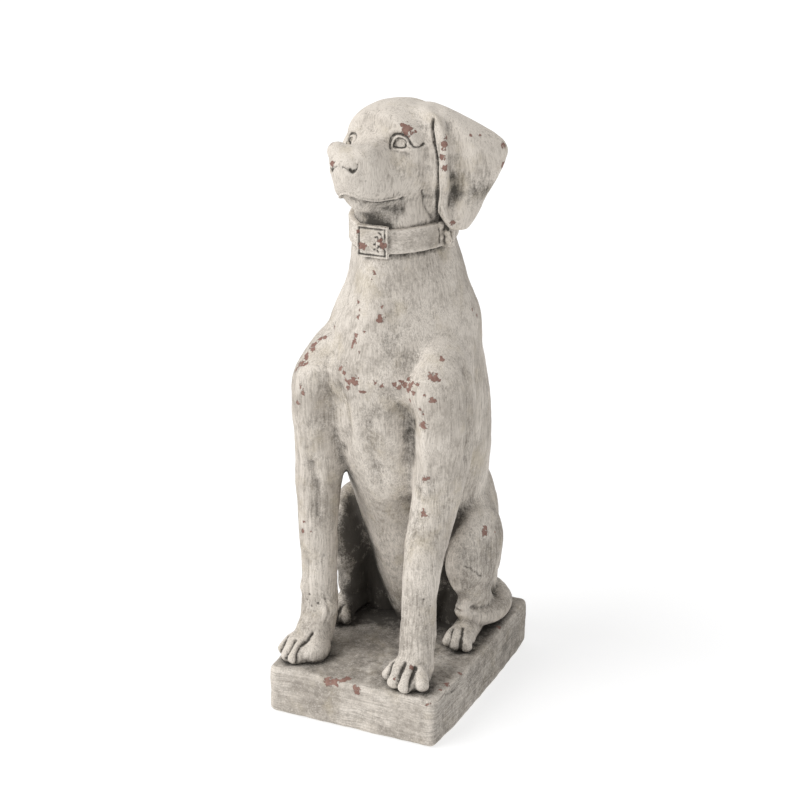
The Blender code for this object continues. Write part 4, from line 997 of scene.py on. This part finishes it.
def paintMasks(thing, occluder, piece):
    mesh, grain = thing.data, piece["grain"]
    points, out, pairs = positions(mesh), normals(mesh), edgePairs(mesh)
    ones = np.ones(len(points))
    close = int(max(2, round((weatheringAndShade["closeReach"] / grain) ** 2)))
    wide = int(max(6, round((weatheringAndShade["wideReach"] / grain) ** 2)))
    near = averaged(points, pairs, ones, close)
    far = averaged(near, pairs, ones, wide)
    fine = np.einsum("ij,ij->i", near - points, out) * 1000
    broad = np.einsum("ij,ij->i", far - points, out) * 1000
    # painted shade: places that see little sky are darkened, as shade falls there, scaled by the piece's
    # shade
    sky = openness(thing, occluder, grain)
    paintedShelterShade = np.clip((weatheringAndShade["skyFrom"] - sky) / weatheringAndShade["skySpan"], 0, 1) ** weatheringAndShade["skyCurve"]
    washAndShadeMask = np.clip(fine * weatheringAndShade["closeWash"], 0, 1) + np.clip(broad * weatheringAndShade["wideWash"], 0, 1)
    washAndShadeMask += paintedShelterShade * weatheringAndShade["skyShade"] * piece["shade"]
    rub = np.clip(-fine * weatheringAndShade["closeRub"], 0, 1) * 0.6
    rub += np.clip(-broad * weatheringAndShade["wideRub"], 0, 1) * 0.5
    chip = np.zeros(len(points))
    skin = surfaceOf(thing)
    for x, y, z, radius in chipSpots:
        spot, _, _, off = skin.find_nearest(placed(x, y, z))
        if off > weatheringAndShade["chipGap"]:
            continue
        away = np.linalg.norm(points - np.array(spot), axis=1) * 1000
        chip = np.maximum(chip, np.clip(1 - away / (radius * weatheringAndShade["chipFade"]), 0, 1))
    addMask(mesh, "line", 0)
    line = np.empty(len(points), np.float32)
    mesh.attributes["line"].data.foreach_get("value", line)
    mesh.attributes.remove(mesh.attributes["line"])
    upward, sideways = (np.clip(facing * 3 - 2, 0, 1) for facing in (out[:, 2], np.abs(out[:, 0])))
    onTop = np.clip((points[:, 2] - plinthTop) * 400 + 2, 0, 1)
    # darker towards the bottom
    washAndShadeMask += weatheringAndShade["lowerDarkening"] * np.clip(1 - points[:, 2] / weatheringAndShade["lowerDarkeningHeight"], 0, 1)
    # the top of the plinth is stained darker, and its side faces get painted shade
    washAndShadeMask += piece["topStain"] * upward * onTop + piece["paintedSideShade"] * sideways
    # one mask of the dark wash together with painted shade and painted highlights
    setMask(mesh, "washAndShadeMask", washAndShadeMask + line)
    setMask(mesh, "rub", rub)
    setMask(mesh, "chip", chip)
    print("masks", thing.name, "washAndShadeMask", round(float(washAndShadeMask.mean()), 3), "sky", round(float(sky.mean()), 3))


# the limewashed finish

# the dark wash colour serves the wash and the painted shade alike
finish = {
    "lime": (0.645, 0.59, 0.524), "undercoat": (0.36, 0.322, 0.28), "wash": (0.060, 0.054, 0.046),
    "clay": (0.225, 0.128, 0.104), "paleClay": (0.29, 0.18, 0.147), "warm": (0.47, 0.41, 0.315),
    "bloom": (0.74, 0.685, 0.62), "bumpStrength": 0.8, "bumpHeight": 0.0009,
}


class Nodes:
    # short ways to add nodes and join them
    def __init__(self, tree):
        self.tree = tree

    def add(self, kind, **settings):
        node = self.tree.nodes.new("ShaderNode" + kind)
        for name, value in settings.items():
            setattr(node, name, value)
        return node

    def feed(self, socket, value):
        if isinstance(value, bpy.types.NodeSocket):
            self.tree.links.new(value, socket)
        elif isinstance(value, tuple) and len(value) == 3 and socket.type == "RGBA":
            socket.default_value = value + (1.0,)
        else:
            socket.default_value = value

    def math(self, operation, a, b=0.5, clamp=False):
        node = self.add("Math", operation=operation, use_clamp=clamp)
        self.feed(node.inputs[0], a)
        self.feed(node.inputs[1], b)
        return node.outputs[0]

    def swing(self, value):
        # a noise's value less its middle
        return self.math("SUBTRACT", value, 0.5)

    def summed(self, value, terms):
        # the value with a share of each other one added
        for other, share in terms:
            value = self.math("ADD", value, self.math("MULTIPLY", other, share))
        return value

    def vector(self, operation, a, b):
        node = self.add("VectorMath", operation=operation)
        self.feed(node.inputs[0], a)
        self.feed(node.inputs[1], b)
        return node.outputs[0]

    def noise(self, vector, scale, detail=3.0, rough=0.55, colour=False):
        node = self.add("TexNoise")
        self.feed(node.inputs["Vector"], vector)
        self.feed(node.inputs["Scale"], scale)
        self.feed(node.inputs["Detail"], detail)
        self.feed(node.inputs["Roughness"], rough)
        return node.outputs["Color" if colour else "Fac"]

    def ramp(self, value, low, high, toLow=0.0, toHigh=1.0, kind="SMOOTHSTEP"):
        node = self.add("MapRange", interpolation_type=kind)
        for socket, number in zip(node.inputs, (value, low, high, toLow, toHigh)):
            self.feed(socket, number)
        return node.outputs[0]

    def mix(self, share, a, b):
        node = self.add("Mix", data_type="RGBA")
        self.feed(node.inputs[0], share)
        self.feed(node.inputs[6], a)
        self.feed(node.inputs[7], b)
        return node.outputs[2]


def newGroup(name, inputs, outputs):
    group = bpy.data.node_groups.new(name, "ShaderNodeTree")
    for label, kind in inputs:
        group.interface.new_socket(label, in_out="INPUT", socket_type="NodeSocket" + kind)
    for label, kind in outputs:
        group.interface.new_socket(label, in_out="OUTPUT", socket_type="NodeSocket" + kind)
    return group, Nodes(group), group.nodes.new("NodeGroupInput"), group.nodes.new("NodeGroupOutput")


def brushworkGroup():
    # strokes of a coarse brush: broad streaks and fine bristle lines
    group, n, start, end = newGroup(
        "brushwork",
        [("Vector", "Vector"), ("Stretch", "Vector"), ("Wander", "Float")],
        [("Streak", "Float"), ("Bristle", "Float")])
    drift = n.noise(start.outputs["Vector"], 14.0, 2.0, 0.5, colour=True)
    drift = n.vector("MULTIPLY", drift, (0.03, 0.03, 0.03))
    drift = n.vector("MULTIPLY", drift, start.outputs["Wander"])
    moved = n.vector("ADD", start.outputs["Vector"], drift)
    stretched = n.vector("MULTIPLY", moved, start.outputs["Stretch"])
    broad = n.noise(stretched, 1.0, 4.0, 0.62)
    fine = n.noise(n.vector("MULTIPLY", stretched, (3.1, 3.1, 3.1)), 1.0, 2.0, 0.6)
    n.feed(end.inputs["Streak"], broad)
    n.feed(end.inputs["Bristle"], fine)
    return group


def weatherAndShadeGroup():
    # lime over an undercoat, dark wash in the hollows together with painted shade and painted highlights,
    # rubbed edges, pits and flaked chips
    group, n, start, end = newGroup(
        "limeWeatherAndShade",
        [("Vector", "Vector"), ("Streak", "Float"), ("Bristle", "Float"), ("WashAndShadeMask", "Float"),
         ("Rub", "Float"), ("Chip", "Float"), ("Soil", "Float"), ("Brush", "Float"), ("Mottle", "Float")],
        [("Color", "Color"), ("Roughness", "Float"), ("Height", "Float")])
    given = start.outputs
    vector, bristle = given["Vector"], given["Bristle"]
    # brush streaks and the noises, from clouds down to grit
    streak = n.math("ADD", n.math("MULTIPLY", n.swing(given["Streak"]), given["Brush"]), 0.5)
    cloud = n.noise(vector, 11.0, 5.0, 0.6)
    patch = n.noise(vector, 48.0, 4.0, 0.65)
    speckle = n.noise(vector, 150.0, 4.0, 0.7)
    flake = n.noise(vector, 230.0, 4.0, 0.62)
    grit = n.noise(vector, 480.0, 3.0, 0.7)
    blotch = n.math("MULTIPLY", n.swing(patch), given["Mottle"])
    # where the lime covers the undercoat
    cover = n.math("ADD", n.math("MULTIPLY", streak, 0.62), 0.15)
    cover = n.summed(cover, [(cloud, 0.78), (blotch, 0.3), (given["Rub"], 0.35), (given["Soil"], -0.35)])
    limed = n.ramp(cover, 0.64, 1.02)
    colour = n.mix(limed, finish["undercoat"], finish["lime"])
    warmth = n.ramp(n.noise(vector, 27.0, 4.0, 0.65), 0.50, 0.72, 0.0, 0.6)
    colour = n.mix(warmth, colour, finish["warm"])
    lines = n.ramp(bristle, 0.34, 0.48, 0.6, 0.0)
    colour = n.mix(lines, colour, finish["undercoat"])
    # chalky streaks and dust
    chalk = n.math("MULTIPLY", n.ramp(bristle, 0.52, 0.64, 0.0, 0.85), n.ramp(cloud, 0.42, 0.62))
    colour = n.mix(chalk, colour, finish["bloom"])
    dust = n.math("MULTIPLY", n.ramp(grit, 0.54, 0.64, 0.0, 0.7), n.ramp(speckle, 0.48, 0.58))
    colour = n.mix(dust, colour, finish["bloom"])
    # the dark wash together with painted shade, broken up by the noises, and pits
    washAndShadeLevel = n.math("MULTIPLY", given["WashAndShadeMask"], n.math("ADD", n.math("MULTIPLY", patch, -1.3), 1.65))
    washAndShadeLevel = n.summed(washAndShadeLevel, [(n.swing(streak), -0.8), (blotch, -0.8), (n.swing(speckle), -0.8),
                         (n.swing(grit), -1.5), (given["Soil"], 0.3)])
    washedAndShaded = n.ramp(washAndShadeLevel, 0.10, 1.35, 0.0, 0.95, "LINEAR")
    colour = n.mix(washedAndShaded, colour, finish["wash"])
    pits = n.math("MULTIPLY", n.ramp(grit, 0.63, 0.70), n.ramp(speckle, 0.48, 0.60))
    colour = n.mix(n.math("MULTIPLY", pits, 0.6), colour, finish["wash"])
    # flakes down to the clay, at the chosen places and on rubbed edges
    chipped = n.summed(given["Chip"], [(n.swing(flake), 1.35)])
    worn = n.math("MULTIPLY", given["Rub"], 0.55)
    worn = n.summed(worn, [(n.swing(flake), 2.0), (n.swing(cloud), 1.2)])
    chips = n.math("MAXIMUM", n.ramp(chipped, 0.63, 0.66), n.ramp(worn, 0.78, 0.82))
    rim = n.ramp(chipped, 0.575, 0.625, 0.0, 0.5)
    colour = n.mix(rim, colour, finish["wash"])
    clay = n.mix(n.ramp(speckle, 0.42, 0.62), finish["clay"], finish["paleClay"])
    colour = n.mix(chips, colour, clay)
    rough = n.ramp(limed, 0.0, 1.0, 0.93, 0.80)
    high = n.summed(n.math("MULTIPLY", streak, 0.22),
                    [(bristle, 0.18), (grit, 0.42), (patch, 0.45), (speckle, 0.5), (chips, -0.55),
                     (pits, -0.5)])
    n.feed(end.inputs["Color"], colour)
    n.feed(end.inputs["Roughness"], rough)
    n.feed(end.inputs["Height"], high)
    return group


def limewash(name, groups, stretch, wander, soil, brushed, mottled):
    material = bpy.data.materials.new(name)
    material.use_nodes = True
    tree = material.node_tree
    n = Nodes(tree)
    shader = tree.nodes["Principled BSDF"]
    place = n.add("TexCoord").outputs["Object"]
    brush = n.add("Group")
    brush.node_tree = groups[0]
    for label, value in (("Vector", place), ("Stretch", stretch), ("Wander", wander)):
        n.feed(brush.inputs[label], value)
    weatherAndShade = n.add("Group")
    weatherAndShade.node_tree = groups[1]
    for label in ("Streak", "Bristle"):
        n.feed(weatherAndShade.inputs[label], brush.outputs[label])
    # the masks: dark wash with painted shade and highlights, rubbed edges and chips
    for label, mask in (("WashAndShadeMask", "washAndShadeMask"), ("Rub", "rub"), ("Chip", "chip")):
        reader = n.add("Attribute", attribute_name=mask, attribute_type="GEOMETRY")
        n.feed(weatherAndShade.inputs[label], reader.outputs["Fac"])
    for label, value in (("Vector", place), ("Soil", soil), ("Brush", brushed), ("Mottle", mottled)):
        n.feed(weatherAndShade.inputs[label], value)
    bump = n.add("Bump")
    bump.inputs["Strength"].default_value = finish["bumpStrength"]
    bump.inputs["Distance"].default_value = finish["bumpHeight"]
    n.feed(bump.inputs["Height"], weatherAndShade.outputs["Height"])
    n.feed(shader.inputs["Base Color"], weatherAndShade.outputs["Color"])
    n.feed(shader.inputs["Roughness"], weatherAndShade.outputs["Roughness"])
    n.feed(shader.inputs["Normal"], bump.outputs["Normal"])
    shader.inputs["Specular IOR Level"].default_value = 0.25
    return material


def dress(thing, material):
    mesh = thing.data
    mesh.materials.clear()
    mesh.materials.append(material)
    mesh.shade_smooth()
    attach(thing, "root")
    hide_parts("dog_statue")


# floor, light and camera

def makeStage():
    deselectAll()
    bpy.ops.mesh.primitive_circle_add(vertices=96, radius=floorSettings["radius"], fill_type="NGON",
                                      location=(0, 0, -0.0002))
    floor = bpy.context.active_object
    floor.name = "floor"
    pale = bpy.data.materials.new("paleFloor")
    pale.use_nodes = True
    shader = pale.node_tree.nodes["Principled BSDF"]
    shader.inputs["Base Color"].default_value = (floorSettings["grey"],) * 3 + (1,)
    shader.inputs["Emission Color"].default_value = (1, 1, 1, 1)
    shader.inputs["Emission Strength"].default_value = floorSettings["glow"]
    shader.inputs["Roughness"].default_value = floorSettings["roughness"]
    shader.inputs["Specular IOR Level"].default_value = 0.1
    floor.data.materials.append(pale)
    world = bpy.data.worlds.new("studio")
    scene.world = world
    world.use_nodes = True
    world.node_tree.nodes["Background"].inputs["Color"].default_value = (1, 1, 1, 1)
    world.node_tree.nodes["Background"].inputs["Strength"].default_value = lightSettings["sky"]
    lamp = bpy.data.lights.new("key", "SUN")
    lamp.energy = lightSettings["sun"]
    lamp.angle = math.radians(lightSettings["softness"])
    thing = bpy.data.objects.new("key", lamp)
    scene.collection.objects.link(thing)
    thing.location = Vector(lightSettings["from"]) * 3
    thing.rotation_euler = thing.location.to_track_quat("Z", "Y").to_euler()


def makeCamera():
    azimuth, elevation = (math.radians(cameraSettings[key]) for key in ("azimuth", "elevation"))
    back = Vector((math.sin(azimuth) * math.cos(elevation), -math.cos(azimuth) * math.cos(elevation),
                   math.sin(elevation)))
    camera = bpy.data.objects.new("camera", bpy.data.cameras.new("camera"))
    camera.data.sensor_width = 36
    camera.data.lens = cameraSettings["lens"]
    camera.location = Vector(cameraSettings["target"]) + back * cameraSettings["distance"]
    camera.rotation_euler = back.to_track_quat("Z", "Y").to_euler()
    scene.collection.objects.link(camera)
    scene.camera = camera


deselectAll()
scene.view_settings.view_transform = "Standard"
makeStage()
makeCamera()
print("stage and camera ready")

statueBody = makeBody()
statueHead = makeHead()
statueCollar = makeCollar()
statuePlinth = makePlinth()

pieces = ((statueBody, body), (statueHead, head), (statueCollar, collar), (statuePlinth, plinth))
lumps = ((statueBody, 24, 0.9, 1), (statueBody, 7, 0.36, 5), (statueHead, 12, 0.35, 2),
         (statueCollar, 8, 0.5, 3), (statuePlinth, 30, 1.2, 4), (statuePlinth, 9, 0.5, 6))
for thing, size, depth, seed in lumps:
    uneven(thing, size, depth, seed)
occluder = surfaceOfAll([thing for thing, piece in pieces])
for thing, piece in pieces:
    paintMasks(thing, occluder, piece)
thin(statueBody, body["triangles"])
thin(statueHead, head["triangles"])

groups = (brushworkGroup(), weatherAndShadeGroup())
for thing, piece in pieces:
    dress(thing, limewash(piece["material"], groups, **piece["brush"]))
print("finish ready")

deselectAll()
